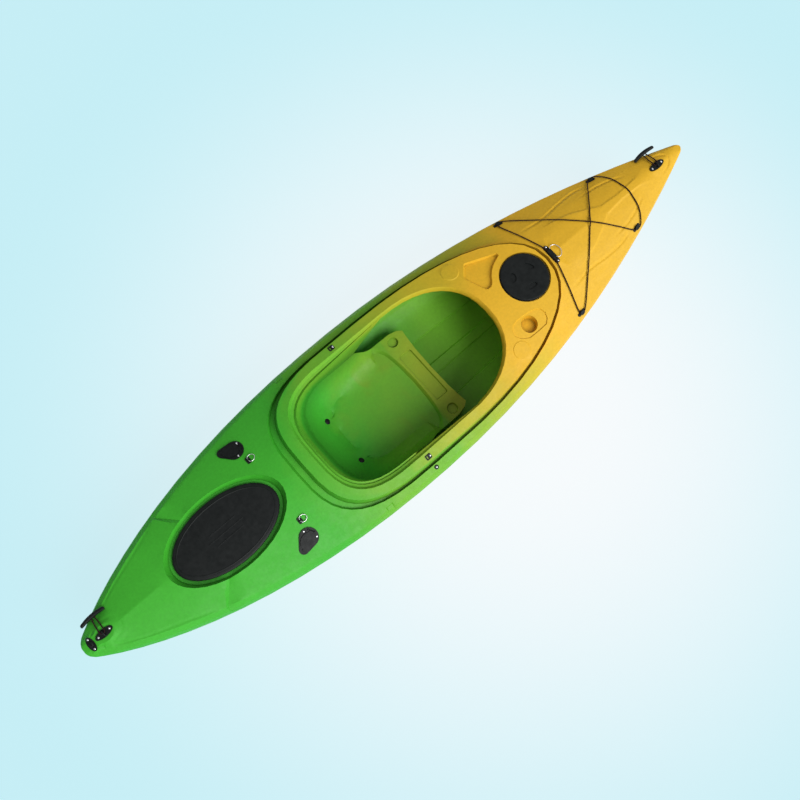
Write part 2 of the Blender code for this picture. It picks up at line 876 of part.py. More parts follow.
def make_pads():
    """Every flat pad, with its outline and holes drawn round its own centre."""
    pads = {}
    drain_x = drain_station()
    eye_holes = [round_hole(-eye_screw_reach, 0), round_hole(eye_screw_reach, 0)]
    stern_oval = oval(0, 0, 0.040, 0.030, 20)
    bow_oval = oval(0, 0, 0.041, 0.0165, 20)
    pads["stern_pad_eye"] = Pad(deck_at, drain_x + drain_to_eye, 0, stern_oval, eye_holes)
    pads["bow_pad_eye"] = Pad(deck_at, bow_eye_x, 0, bow_oval, eye_holes)
    drain_holes = [
        round_hole(0, -0.020, 0.0022), round_hole(0, 0.020, 0.0022), round_hole(0, 0, 0.0112, 16),
    ]
    drain_oval = oval(0, 0, drain_half_length + 0.0010, drain_half_width + 0.0010, 20)
    pads["drain"] = Pad(deck_at, drain_x, 0, drain_oval, drain_holes)
    centre_box = rounded_box(0.0115, centre_half_width + 0.0015, 0.009)
    centre_holes = [round_hole(0.003, side * 0.0355) for side in (1, -1)]
    pads["centre_saddle"] = Pad(deck_at, centre_x, 0, centre_box, centre_holes)
    rod_y = beam_at(rod_x) - rod_edge
    for side, name in ((1, "port"), (-1, "starboard")):
        tube = oval(-0.0010, 0, rod_outer + 0.0043, rod_outer + 0.0018, 20)
        screws = [round_hole(-0.027, v) for v in (-0.026, 0.026)]
        pads[name + "_rod_holder"] = Pad(
            deck_at, rod_x, side * rod_y, rod_outline(0.003), [tube, *screws], side * rod_heading
        )
        pads[name + "_ring_saddle"] = Pad(
            deck_at, rod_x + side_ring_ahead, side * (rod_y - side_ring_beside),
            rounded_box(0.0105, 0.0145, 0.005),
        )
        tab_hole = round_hole(0.0075, 0)
        pads[name + "_coaming_tab"] = Pad(
            ring_top_at, coaming_tab_x, side * coaming_tab_y,
            rounded_box(0.0145, 0.0112, 0.003, 2), [tab_hole],
        )
        for place, x in (("rear", rear_hook_x), ("front", front_hook_x)):
            slope = (beam_at(x + 0.01) - beam_at(x - 0.01)) / 0.02
            pads[f"{place}_{name}_hook"] = Pad(
                deck_at, x, side * (beam_at(x) - hook_edge),
                rounded_box(hook_half_length + 0.0015, hook_half_width + 0.0010, 0.005, 2),
                heading=side * math.atan(slope),
            )
        pads[name + "_seat_bung"] = Pad(
            back_wall_at, bung_x, side * bung_y, round_hole(0, 0, bung_radius + 0.001, 16),
            [round_hole(0, 0, 0.0095, 12)],
        )
    pads["leash"] = Pad(
        deck_at, leash_x, leash_edge - beam_at(leash_x), round_hole(0, 0, 0.0102, 10),
        [round_hole(0, 0)],
    )
    return pads


def rod_outline(grow):
    """A shield round the rod holder: a wide round end at its screws, a narrow one, straight sides."""
    between = rod_narrow_end - rod_wide_end
    side = math.acos((rod_wide_radius - rod_narrow_radius) / between)
    points = []
    for centre, radius, first, last, steps in (
        (rod_narrow_end, rod_narrow_radius, -side, side, 9),
        (rod_wide_end, rod_wide_radius, side, 2 * math.pi - side, 19),
    ):
        for k in range(steps + 1):
            angle = mix(first, last, k / steps)
            reach = radius + grow
            points.append((centre + reach * math.cos(angle), reach * math.sin(angle)))
    return points


def hull_lines(pads):
    """Every crease, edge and step of the deck, the console and the tub."""
    skin = Skin()
    gunwale = [(x, beam_at(x), gunwale_at(x)) for x in stations()]
    stern_end = (gunwale[0][0], 0.0, gunwale[0][2])
    gunwale[-1] = (bow_reach, 0.0, gunwale_bow)
    border = [stern_end] + gunwale + [(x, -y, z) for x, y, z in reversed(gunwale[:-1])]
    skin.line(border)
    for edge, dip in ((roll_at, roll_dip), (shoulder_at, 1.0)):
        port = dipped_edge(edge, dip)
        skin.line(port + [(x, -y, z) for x, y, z in reversed(port)])

    groove = [(groove_side_width, groove_rear_width, 0.0)]
    for beside, behind in zip(reversed(groove_side_floor), reversed(groove_rear_floor)):
        groove.append((beside, behind, groove_depth))
    for beside, behind, drop in groove:
        outline = grown_ring(beside, behind)
        ring_line(skin, outline, deck_at, drop)
        skin.keep_clear.append(outline)
    ring_line(skin, grown_ring(0.0), ring_top_at, 0.0)
    for sizes in coaming_lines:
        lip = coaming_line(*sizes)
        skin.line(lip)

    tip = min(lip, key=lambda point: abs(point[0] - hip_end) + (point[1] < 0))
    for has_lip in (False, True):
        skin.mirrored_line([tip, *seat_edge(has_lip)])
    hole = [point[:2] for point in (tip, *seat_edge(True))]
    hole += [(x, -y) for x, y in reversed(hole[:-1])]
    forward = [point[:2] for point in lip if point[0] > tip[0] + 1e-6]
    forward.sort(key=lambda point: math.atan2(point[1], point[0] - tip[0]))
    skin.holes.append(hole + forward)

    skin.line(tub_line(hip_rear, hip_half, hip_height, -0.045), closed=False)
    skin.line(tub_line(bolster_rear, bolster_half, bolster_height, 0.010), closed=False)
    skin.line(tub_line(seat_rear, seat_half, seat_height, 0.010), closed=False)
    seat_forms(skin)
    console_forms(skin)
    hatch_well(skin)
    side_notches(skin)
    spine_forms(skin)
    for pad in pads.values():
        skin.pad(pad)
    deck_rows(skin, 0.065 - stern_reach, ring_rear - 0.035, 0.090)
    deck_rows(skin, ring_front + 0.061, bow_reach - 0.050, 0.080)
    return skin, border


def make_hull(pads):
    """The one-piece moulded shell, and the outer skin that its inner fittings are placed by."""
    skin, border = hull_lines(pads)
    corners, faces = skin.triangles(border)
    mesh = bmesh.new()
    hull_skin(mesh)
    verts = [mesh.verts.new(corner) for corner in corners]
    for face in faces:
        mesh.faces.new([verts[k] for k in face])
    bmesh.ops.remove_doubles(mesh, verts=mesh.verts, dist=2e-5)
    loose = [vert for vert in mesh.verts if not vert.link_faces]
    bmesh.ops.delete(mesh, geom=loose, context="VERTS")
    data = bpy.data.meshes.new("hull_shell")
    mesh.to_mesh(data)
    outer = BVHTree.FromBMesh(mesh)
    mesh.free()
    data.shade_smooth()
    data.set_sharp_from_angle(angle=math.radians(32))
    hull = add("hull_shell", data, "hull")
    shell = hull.modifiers.new("wall", "SOLIDIFY")
    shell.thickness = wall
    shell.offset = -1
    shell.use_even_offset = True
    shell.use_quality_normals = True
    return outer


# Making and joining pieces

finishes = {
    "hull": ((0.30, 0.55, 0.06), 0.45, 0.0),
    "black": ((0.020, 0.021, 0.023), 0.50, 0.0),
    "rubber": ((0.012, 0.012, 0.013), 0.75, 0.0),
    "cord": ((0.035, 0.020, 0.024), 0.80, 0.0),
    "steel": ((0.62, 0.63, 0.64), 0.25, 1.0),
}


def group(name):
    found = bpy.data.collections.get(name)
    if found is None:
        found = bpy.data.collections.new(name)
        bpy.context.scene.collection.children.link(found)
    return found


def add(name, data, finish=None, frame=None, parent=None):
    """Puts a piece in the kayak's collection, or a form that only shapes others in the forms'."""
    obj = bpy.data.objects.new(name, data)
    group("kayak" if finish else "forms").objects.link(obj)
    obj.parent = parent
    if frame is not None:
        obj.matrix_basis = frame
    if finish is None:
        obj.hide_render = True
        obj.display_type = "WIRE"
        return obj
    colour, roughness, metallic = finishes[finish]
    material = bpy.data.materials.new(f"{name}_{finish}")
    material.use_nodes = True
    shader = material.node_tree.nodes["Principled BSDF"]
    shader.inputs["Base Color"].default_value = (*colour, 1)
    shader.inputs["Roughness"].default_value = roughness
    shader.inputs["Metallic"].default_value = metallic
    if data.materials:
        obj.material_slots[0].link = "OBJECT"
        obj.material_slots[0].material = material
    else:
        data.materials.append(material)
    return obj


def turned(name, profile, steps, finish=None, frame=None, closed=False):
    """A profile of radii and heights, turned round the upright axis."""
    data = bpy.data.meshes.new(name)
    count = len(profile)
    edges = [(k, (k + 1) % count) for k in range(count if closed else count - 1)]
    data.from_pydata([(radius, 0, height) for radius, height in profile], edges, [])
    obj = add(name, data, finish, frame)
    screw = obj.modifiers.new("turn", "SCREW")
    screw.steps = steps
    screw.render_steps = steps
    screw.use_merge_vertices = True
    screw.merge_threshold = 0.00002
    return obj


def plate(name, outlines, low, high):
    """A flat form between two heights, with any outline after the first as a hole."""
    curve = bpy.data.curves.new(name, "CURVE")
    curve.dimensions = "2D"
    curve.fill_mode = "BOTH"
    curve.extrude = (high - low) / 2
    for outline in outlines:
        spline = curve.splines.new("POLY")
        spline.points.add(len(outline) - 1)
        for point, (u, v) in zip(spline.points, outline):
            point.co = (u, v, 0, 1)
        spline.use_cyclic_u = True
    data = mesh_of(add(name, curve))
    data.transform(Matrix.Translation((0, 0, (low + high) / 2)))
    return add(name, data)


def wire(name, points, radius, closed=False, sides=2):
    curve = bpy.data.curves.new(name, "CURVE")
    curve.dimensions = "3D"
    curve.bevel_depth = radius
    curve.bevel_resolution = sides
    curve.use_fill_caps = True
    spline = curve.splines.new("POLY")
    spline.points.add(len(points) - 1)
    for point, place in zip(spline.points, points):
        point.co = (*place, 1)
    spline.use_cyclic_u = closed
    return add(name, mesh_of(add(name, curve)))


def rod(name, radius, start, end, sides=16, end_radius=None):
    """A round bar from one point to another, or a cone when its end radius differs."""
    start = Vector(start)
    way = Vector(end) - start
    mesh = bmesh.new()
    bmesh.ops.create_cone(
        mesh, cap_ends=True, segments=sides, radius1=radius,
        radius2=radius if end_radius is None else end_radius, depth=way.length,
    )
    turn = Vector((0, 0, 1)).rotation_difference(way).to_matrix().to_4x4()
    mesh.transform(Matrix.Translation(start + way / 2) @ turn)
    data = bpy.data.meshes.new(name)
    mesh.to_mesh(data)
    mesh.free()
    return add(name, data)


def block(name, low, high, bevel=0.0):
    low = Vector(low)
    high = Vector(high)
    mesh = bmesh.new()
    bmesh.ops.create_cube(mesh, size=1.0)
    size = high - low
    mesh.transform(Matrix.Translation((low + high) / 2) @ Matrix.Diagonal((*size, 1)))
    if bevel:
        bmesh.ops.bevel(mesh, geom=mesh.edges, offset=bevel, segments=1, affect="EDGES")
    data = bpy.data.meshes.new(name)
    mesh.to_mesh(data)
    mesh.free()
    return add(name, data)


def mesh_of(obj):
    """The finished mesh of a form, which is then removed."""
    bpy.context.view_layer.update()
    graph = bpy.context.evaluated_depsgraph_get()
    data = bpy.data.meshes.new_from_object(obj.evaluated_get(graph))
    mesh = bmesh.new()
    mesh.from_mesh(data)
    bmesh.ops.remove_doubles(mesh, verts=mesh.verts, dist=1e-6)
    mesh.to_mesh(data)
    mesh.free()
    bpy.data.objects.remove(obj)
    return data


def shaped(obj, unions=(), cuts=()):
    """One closed mesh from a form, what joins it and what is cut out of it."""
    for operation, others in (("UNION", unions), ("DIFFERENCE", cuts)):
        for other in others:
            modifier = obj.modifiers.new(other.name, "BOOLEAN")
            modifier.operation = operation
            modifier.object = other
            modifier.solver = "EXACT"
    data = mesh_of(obj)
    for other in (*unions, *cuts):
        bpy.data.objects.remove(other)
    data.shade_smooth()
    data.set_sharp_from_angle(angle=math.radians(35))
    return data


def moved(*place):
    return Matrix.Translation(place)


# Fittings


def screw(name, frame, length=0.012):
    """A pan-head screw that stands on the plane of its frame."""
    profile = [
        (0, 0.0019), (0.0032, 0.0014), (screw_head, gap), (screw_shank, gap),
        (screw_shank, -length), (0, -length),
    ]
    return turned(name, profile, 8, "steel", frame)


def pad_eye():
    """An oval foot with a lateral arch that the toggle cord runs through."""
    outline = oval(0, 0, eye_half_length, eye_half_width, 24)
    holes = [round_hole(side * eye_screw_reach, 0, 0.0024, 8) for side in (1, -1)]
    foot = plate("foot", [outline, *holes], gap, eye_base)
    arch = []
    for k in range(11):
        angle = math.pi * k / 10
        rise = eye_base + eye_arch_radius * math.sin(angle)
        arch.append((0, eye_arch_radius * math.cos(angle), rise))
    arch = [(0, eye_arch_radius, 0.0015), *arch, (0, -eye_arch_radius, 0.0015)]
    return shaped(foot, [wire("arch", arch, eye_arch_wire, sides=2)])


def toggle_droop(hinge):
    """How far the cord falls before its grip comes to rest over the edge of the deck."""
    degrees = 40
    reach = toggle_reach + grip_offset - toggle_level
    while degrees > 0:
        angle = math.radians(degrees)
        clear = True
        for share in (-1, -0.5, 0, 0.5, 1):
            here = reach - grip_bow * share**2
            for k in range(7):
                under = math.pi * k / 6
                y = toggle_level + here * math.cos(angle) + grip_radius * math.cos(under)
                z = -here * math.sin(angle) - grip_radius * math.sin(under)
                spot = hinge @ Vector((share * grip_length / 2, y, z))
                clear = clear and spot.z > deck_at(spot.x, spot.y) + grip_clearance
        if clear:
            break
        degrees -= 0.5
    return math.radians(degrees)


def toggle_path(droop):
    """The cord from the grip through the eye and back, from the hinge line at the eye."""
    strand = []
    fall = math.sin(droop)
    run = math.cos(droop)
    for k in range(5):
        reach = mix(toggle_reach, toggle_level + 0.010, k / 4)
        spread = mix(grip_spread, toggle_spread, smooth((toggle_reach - reach) / 0.035))
        strand.append((spread, toggle_level + (reach - toggle_level) * run,
                       -(reach - toggle_level) * fall))
    strand.append((toggle_spread, toggle_level + 0.004, -0.0005))
    strand.append((toggle_spread, toggle_level - 0.003, 0.0))
    bend = []
    for k in range(13):
        angle = math.pi * k / 12
        bend.append((toggle_spread * math.cos(angle), toggle_spread * (1 - math.sin(angle)), 0.0))
    return strand + bend + [(-x, y, z) for x, y, z in reversed(strand)]


def toggle_grip():
    """A bowed grip across the cord's end, thinner at its ends, bored for both strands."""
    half = grip_length / 2
    end = [(0, half), (grip_end_radius * 0.6, half), (grip_end_radius * 0.9, half - 0.0015)]
    for share in (0.93, 0.72, 0.48, 0.24):
        end.append((mix(grip_radius, grip_end_radius, share**2), half * share))
    profile = end + [(grip_radius, 0)] + [(radius, -z) for radius, z in reversed(end)]
    barrel = turned("barrel", profile, 14)
    barrel.matrix_basis = Matrix.Rotation(math.pi / 2, 4, "Y")
    cuts = []
    for side in (1, -1):
        start = (side * grip_spread, -grip_radius - 0.004, 0)
        end = (side * grip_spread, 0.0015, 0)
        cuts.append(rod("bore", cord_radius + 0.0006, start, end, 10))
    data = mesh_of(barrel)
    data.transform(Matrix.Rotation(math.pi / 2, 4, "Y"))
    for vert in data.vertices:
        vert.co.y -= grip_bow * (vert.co.x / half) ** 2
    return shaped(add("barrel", data), cuts=cuts)


def make_toggles(pads):
    eye = pad_eye()
    grip = toggle_grip()
    for name in ("bow", "stern"):
        frame = pads[name + "_pad_eye"].frame
        add(name + "_pad_eye", eye, "black", frame)
        for side, place in ((-1, "aft"), (1, "fore")):
            spot = frame @ moved(side * eye_screw_reach, 0, eye_base)
            screw(f"{name}_eye_screw_{place}", spot)
        hinge = frame @ moved(0, 0, toggle_cord_height)
        droop = toggle_droop(hinge)
        rope = wire("rope", toggle_path(droop), cord_radius, sides=2)
        cord = add(name + "_toggle_cord", mesh_of(rope), "cord", hinge)
        reach = toggle_reach + grip_offset - toggle_level
        turn = Matrix.Rotation(-droop, 4, "X")
        out = moved(0, toggle_level, 0) @ turn @ moved(0, reach, 0)
        add(name + "_toggle_grip", grip, "black", out, cord)


def make_drain(pads):
    """The stern drain: a screwed seat with a neck through the deck, its plug and a washer."""
    frame = pads["drain"].frame
    outline = oval(0, 0, drain_half_length, drain_half_width, 20)
    holes = [round_hole(0, side * 0.020, 0.0021, 6) for side in (1, -1)]
    bore = round_hole(0, 0, drain_bore, 12)
    foot = plate("foot", [outline, *holes, bore], gap, drain_base)
    neck = turned("neck", [
        (drain_neck, drain_base - 0.001), (drain_neck, -drain_neck_length),
        (drain_bore, -drain_neck_length), (drain_bore, drain_base - 0.001),
    ], 12, closed=True)
    neck = add("neck", mesh_of(neck))
    sleeve = rod("sleeve", drain_bore + 0.0001, (0, 0, -0.02), (0, 0, 0.01), 12)
    add("drain_seat", shaped(foot, [neck], [sleeve]), "black", frame)
    for side, place in ((1, "port"), (-1, "starboard")):
        screw(f"drain_screw_{place}", frame @ moved(0, side * 0.020, drain_base), 0.010)
    top = drain_base + 0.0016
    head = turned("head", [
        (0, top + 0.0042), (0.0075, top + 0.0040), (0.0098, top + 0.0028), (0.0104, top),
        (0.0066, top), (0.0066, -0.0110), (0.0054, -0.0125), (0, -0.0125),
    ], 16)
    head = add("head", mesh_of(head))
    slot = block("slot", (-0.0008, -0.0085, top + 0.0022), (0.0008, 0.0085, top + 0.01))
    add("drain_plug", shaped(head, cuts=[slot]), "black", frame)
    low = drain_base + gap
    turned("drain_washer", [
        (0.0100, top - gap), (0.0100, low), (0.0078, low), (0.0078, top - gap),
    ], 16, "rubber", frame, closed=True)


def oval_rows(name, rows, length, width, closed, count=36):
    """Oval rings, each drawn in from a length and width by a margin, joined one to the next."""
    mesh = bmesh.new()
    rings = []
    for margin, height in rows:
        outline = oval(0, 0, length / 2 - margin, width / 2 - margin, count)
        rings.append([mesh.verts.new((x, y, height)) for x, y in outline])
    pairs = list(zip(rings, rings[1:]))
    if closed:
        pairs.append((rings[-1], rings[0]))
    else:
        mesh.faces.new(rings[0])
        mesh.faces.new(list(reversed(rings[-1])))
    for upper, lower in pairs:
        for k in range(count):
            after = (k + 1) % count
            mesh.faces.new((upper[k], lower[k], lower[after], upper[after]))
    data = bpy.data.meshes.new(name)
    mesh.to_mesh(data)
    mesh.free()
    data.shade_smooth()
    data.set_sharp_from_angle(angle=math.radians(35))
    return data


def make_stern_hatch():
    """The rim screwed into the well and the domed lid that snaps over it."""
    frame = moved(hatch_x, 0, hatch_seat)
    inner = (hatch_flange_width - hatch_hole_width) / 2
    rim = [
        (inner + 0.0035, 0.0109), (inner + 0.0010, 0.0119), (inner - 0.0035, 0.0119),
        (inner - 0.0045, 0.0104), (inner - 0.0045, 0.0030), (0.0, 0.0026), (0.0, gap),
        (inner + 0.0018, gap), (inner + 0.0018, -0.0130), (inner + 0.0045, -0.0130),
    ]
    data = oval_rows("stern_hatch_rim", rim, hatch_flange_length, hatch_flange_width, True)
    add("stern_hatch_rim", data, "black", frame)
    half = hatch_width / 2
    lid = [
        (half * 0.55, 0.0183), (0.0190, 0.0153), (0.0176, 0.0163), (0.0156, 0.0162),
        (0.0142, 0.0149), (0.0050, 0.0138), (0.0008, 0.0112),
        (0.0, 0.0040), (0.0022, 0.0040), (0.0022, 0.0105), (0.0130, 0.0116),
        (half * 0.55, 0.0150),
    ]
    cap = oval_rows("stern_hatch_lid", lid, hatch_length, hatch_width, False)
    ribs = [
        block("rib", (-reach, y - 0.002, 0.0164), (reach, y + 0.002, 0.0192))
        for y, reach in ((-0.024, 0.060), (0.0, 0.078), (0.024, 0.060))
    ]
    add("stern_hatch_lid", shaped(add("cap", cap), ribs), "black", frame)


def kidney(angle, reach=0.045, radius=0.018, low=0.0055, high=0.02):
    outline = []
    for k in range(14):
        t = 2 * math.pi * (k + 0.5) / 14
        u = reach + radius * 0.62 * math.cos(t) + 0.004 * math.sin(t) ** 2
        v = radius * 1.15 * math.sin(t)
        outline.append((u * math.cos(angle) - v * math.sin(angle),
                        u * math.sin(angle) + v * math.cos(angle)))
    return plate("recess", [outline], low, high)


def make_deck_plate():
    """The round hatch: a flange with a collar, its seal and the twist-out lid."""
    frame = moved(plate_x, 0, plate_seat)
    edge = plate_floor_radius - plate_margin
    neck = plate_hole_radius - plate_margin
    bore = neck - plate_neck_wall
    turned("deck_plate_ring", [
        (edge, plate_flange), (edge, gap), (neck, gap), (neck, -plate_neck_length),
        (bore, -plate_neck_length), (bore, plate_flange),
    ], 36, "black", frame, closed=True)
    low = plate_flange + gap
    high = plate_lid_low - 0.0006
    turned("deck_plate_seal", [
        (plate_seal_outer, high), (plate_seal_outer, low),
        (plate_seal_inner, low), (plate_seal_inner, high),
    ], 32, "rubber", frame, closed=True)
    skirt = bore - plate_lid_fit
    inner = skirt - plate_neck_wall
    lid = turned("lid", [
        (0, plate_lid_high), (plate_radius - 0.0085, plate_lid_high),
        (plate_radius - 0.0020, plate_lid_high - 0.0007), (plate_radius, plate_lid_high - 0.0025),
        (plate_radius, plate_lid_low), (skirt, plate_lid_low), (skirt, -plate_skirt_length),
        (inner, -plate_skirt_length), (inner, plate_lid_low - 0.0030),
        (0, plate_lid_low - 0.0030),
    ], 36)
    lid = add("lid", mesh_of(lid))
    cuts = [kidney(math.radians(a)) for a in (147, 267, 27)]
    add("deck_plate_lid", shaped(lid, cuts=cuts), "black", frame)


def rod_axis():
    """The way up the leaning tube of a rod holder."""
    return Vector((math.sin(rod_lean), 0, math.cos(rod_lean)))


def rod_tube():
    """The open tube that hangs from the flange, level with its underside."""
    outer = rod("outer", rod_outer, rod_axis() * -rod_length, rod_axis() * 0.014, 16)
    trim = block("trim", (-0.06, -0.05, 0.0), (0.06, 0.05, 0.04))
    bore = rod("bore", rod_inner, rod_axis() * (-0.005 - rod_length), rod_axis() * 0.03, 16)
    return shaped(outer, cuts=[trim, bore])


def rod_holder():
    """A shield-shaped flange over the mouth of its tube, and two hinge lugs."""
    foot = plate("foot", [rod_outline(0.0), round_hole(-0.027, 0.026, 0.0024, 8),
                          round_hole(-0.027, -0.026, 0.0024, 8)], gap, rod_flange)
    bore = rod("bore", rod_inner, rod_axis() * -0.03, rod_axis() * 0.03, 16)
    lugs = [
        block("lug", (-0.0425, side * 0.0125 - 0.0020, 0.002),
              (-0.0365, side * 0.0125 + 0.0020, rod_flange + 0.0052))
        for side in (1, -1)
    ]
    return shaped(foot, lugs, [bore])


def rod_plug(name, frame):
    """The cap pushed over the foot of the tube, which keeps water out of the hull."""
    skirt = rod_outer + gap
    edge = skirt + rod_plug_wall
    base = -gap - rod_plug_wall
    profile = [
        (0, -gap), (skirt, -gap), (skirt, rod_plug_skirt), (edge, rod_plug_skirt),
        (edge, base), (0, base),
    ]
    foot = frame @ Matrix.Rotation(rod_lean, 4, "Y") @ moved(0, 0, -rod_length)
    return turned(name, profile, 24, "black", foot)


def rod_cap():
    """The cap over a rod holder, from its hinge line."""
    shift = 0.0395
    outline = oval(shift, 0, 0.0335, 0.0262, 20)
    low = -0.0022
    cap = plate("lid", [outline], low, low + 0.0030)
    knuckle = rod("knuckle", 0.0022, (0, -0.0098, 0.0002), (0, 0.0098, 0.0002), 10)
    strap = block("strap", (0.0005, -0.0085, low + 0.0002), (0.0130, 0.0085, low + 0.0026))
    tab = block("tab", (shift + 0.030, -0.0060, low), (shift + 0.0385, 0.0060, low + 0.0026))
    return shaped(cap, [strap, knuckle, tab])


def make_rod_holders(pads):
    holder = rod_holder()
    tube = rod_tube()
    cap = rod_cap()
    for name in ("port", "starboard"):
        frame = pads[name + "_rod_holder"].frame
        add(name + "_rod_holder", holder, "black", frame)
        add(name + "_rod_tube", tube, "black", frame)
        rod_plug(name + "_rod_plug", frame)
        for v, place in ((0.026, "a"), (-0.026, "b")):
            screw(f"{name}_rod_screw_{place}", frame @ moved(-0.027, v, rod_flange))
        hinge = frame @ moved(-0.0395, 0, rod_flange + 0.0027)
        add(name + "_rod_cap", cap, "black", hinge)


def ring_path(width, length):
    """A D: a straight bar across the hinge line and a bow ahead of it."""
    half = width / 2
    points = [(0, 0, 0), (0, half * 0.75, 0)]
    for k in range(1, 16):
        angle = math.pi * k / 16
        along = length * math.sin(angle) ** 0.62
        points.append((along, half * math.cos(angle), 0))
    return points + [(0, -half * 0.75, 0)]


def make_ring_saddles(pads):
    """The two small saddles behind the seat and the large one ahead of the console."""
    foot = plate("foot", [rounded_box(0.009, 0.013, 0.004, 2)], gap, 0.003)
    arch = []
    for k in range(9):
        angle = math.pi * k / 8
        arch.append((0.0062 * math.cos(angle), 0, 0.0035 + 0.0062 * math.sin(angle)))
    arch = [(0.0062, 0, 0.0012), *arch, (-0.0062, 0, 0.0012)]
    saddle = shaped(foot, [wire("arch", arch, 0.0020, sides=2)])
    path = ring_path(side_ring_width, side_ring_length)
    for name in ("port", "starboard"):
        frame = pads[name + "_ring_saddle"].frame
        add(name + "_ring_saddle", saddle, "black", frame)
        ring = mesh_of(wire("ring", path, 0.0016, closed=True, sides=1))
        add(name + "_d_ring", ring, "steel", frame @ moved(0, 0, 0.0055))

    frame = pads["centre_saddle"].frame
    holes = [round_hole(0.003, side * 0.0355, 0.0024, 8) for side in (1, -1)]
    foot = plate("foot", [rounded_box(0.0105, centre_half_width, 0.008), *holes], gap, 0.003)
    body = block("body", (-0.0085, -centre_block_half, 0.002),
                 (0.0102, centre_block_half, 0.0108), 0.0015)
    cord_bore = rod("cord_bore", 0.0031, (-0.0035, -0.05, 0.0064), (-0.0035, 0.05, 0.0064), 12)
    ring_bore = rod("ring_bore", 0.0024, (0.0062, -0.05, 0.0058), (0.0062, 0.05, 0.0058), 12)
    data = shaped(foot, [body], [cord_bore, ring_bore])
    add("centre_saddle", data, "black", frame)
    for side, place in ((1, "port"), (-1, "starboard")):
        screw(f"centre_screw_{place}", frame @ moved(0.003, side * 0.0355, 0.003), 0.010)
    path = ring_path(centre_ring_width, centre_ring_length)
    ring = mesh_of(wire("ring", path, 0.0018, closed=True, sides=1))
    add("centre_d_ring", ring, "steel", frame @ moved(0.0062, 0, 0.0058))


def make_small_fittings(pads):
    """Coaming tabs, the leash button and the bungs in the seat's back."""
    slot = rounded_box(0.0027, 0.0068, 0.0015, 2)
    slot = [(u - 0.0050, v) for u, v in slot]
    outline = rounded_box(0.0120, 0.0098, 0.003, 2)
    hole = round_hole(0.0075, 0, 0.0024, 8)
    tab = shaped(plate("tab", [outline, slot, hole], gap, 0.003))
    bung_head = bung_radius
    for name in ("port", "starboard"):
        frame = pads[name + "_coaming_tab"].frame
        add(name + "_coaming_tab", tab, "black", frame)
        screw(name + "_coaming_screw", frame @ moved(0.0075, 0, 0.003), 0.010)
        turned(name + "_seat_bung", [
            (0, 0.0042), (bung_head * 0.6, 0.0038), (bung_head * 0.93, 0.0022), (bung_head, gap),
            (0.0084, gap), (0.0084, -0.0120), (0.0074, -0.0130), (0, -0.0130),
        ], 16, "black", pads[name + "_seat_bung"].frame)
    frame = pads["leash"].frame
    turned("leash_ring", [
        (0.0088, 0.0022), (0.0092, 0.0008), (0.0092, gap), (0.0026, gap), (0.0026, 0.0030),
        (0.0060, 0.0030),
    ], 16, "black", frame, closed=True)
    screw("leash_stud", frame @ moved(0, 0, 0.003))


def hook():
    """A low post with an overhanging cap, which holds the deck bungee down."""
    foot = plate("foot", [rounded_box(hook_half_length, hook_half_width, 0.005, 2)],
                 gap, hook_base)
    post = rod("post", hook_post, (0, 0, 0.001), (0, 0, hook_cap_high - 0.001), 8)
    cap = plate("cap", [oval(0, 0, 0.0125, 0.0078, 12)], hook_cap_low, hook_cap_high)
    return shaped(foot, [post, cap])


def hook_bend_points(pad, come, leave, way):
    """The cord round a hook's post, from the way it comes to the way it leaves."""
    turn = pad.frame.to_3x3().inverted()
    ends = []
    for heading in (come, leave):
        flat = turn @ Vector((*heading, 0))
        if way > 0:
            ends.append(math.atan2(-flat.x, flat.y))
        else:
            ends.append(math.atan2(flat.x, -flat.y))
    sweep = (ends[1] - ends[0]) % (2 * math.pi)
    if way < 0:
        sweep -= 2 * math.pi
    steps = max(3, round(abs(sweep) / 0.42))
    points = []
    for k in range(steps + 1):
        angle = ends[0] + sweep * k / steps
        u = hook_bend * math.cos(angle)
        v = hook_bend * math.sin(angle)
        points.append(pad.at(u, v, hook_cord_height))
    over_foot = hook_half_length + 0.001
    start = points[0] + (points[0] - points[1]).normalized() * over_foot
    end = points[-1] + (points[-1] - points[-2]).normalized() * over_foot
    return [start, *points, end]


def resting(outer, x, y):
    """The middle of a cord that lies on the deck at this place."""
    tops = []
    for dx, dy in ((0, 0), (0.006, 0), (-0.006, 0), (0, 0.006), (0, -0.006)):
        spot = outer.ray_cast(Vector((x + dx, y + dy, 1.0)), Vector((0, 0, -1)))[0]
        tops.append(spot.z)
    return Vector((x, y, max(tops) + cord_radius + 0.0010))


def taut(outer, start, end, count=40):
    """A cord pulled straight in plan between two points, lying over the deck between them."""
    line = [(0.0, start)]
    for k in range(1, count):
        share = k / count
        line.append((share, resting(outer, mix(start.x, end.x, share), mix(start.y, end.y, share))))
    line.append((1.0, end))
    kept = []
    for share, point in line:
        while len(kept) > 1:
            s0, p0 = kept[-2]
            s1, p1 = kept[-1]
            straight = mix(p0.z, point.z, (s1 - s0) / (share - s0))
            if p1.z > straight + 0.00002:
                break
            kept.pop()
        kept.append((share, point))
    return [point for share, point in kept[1:-1]]


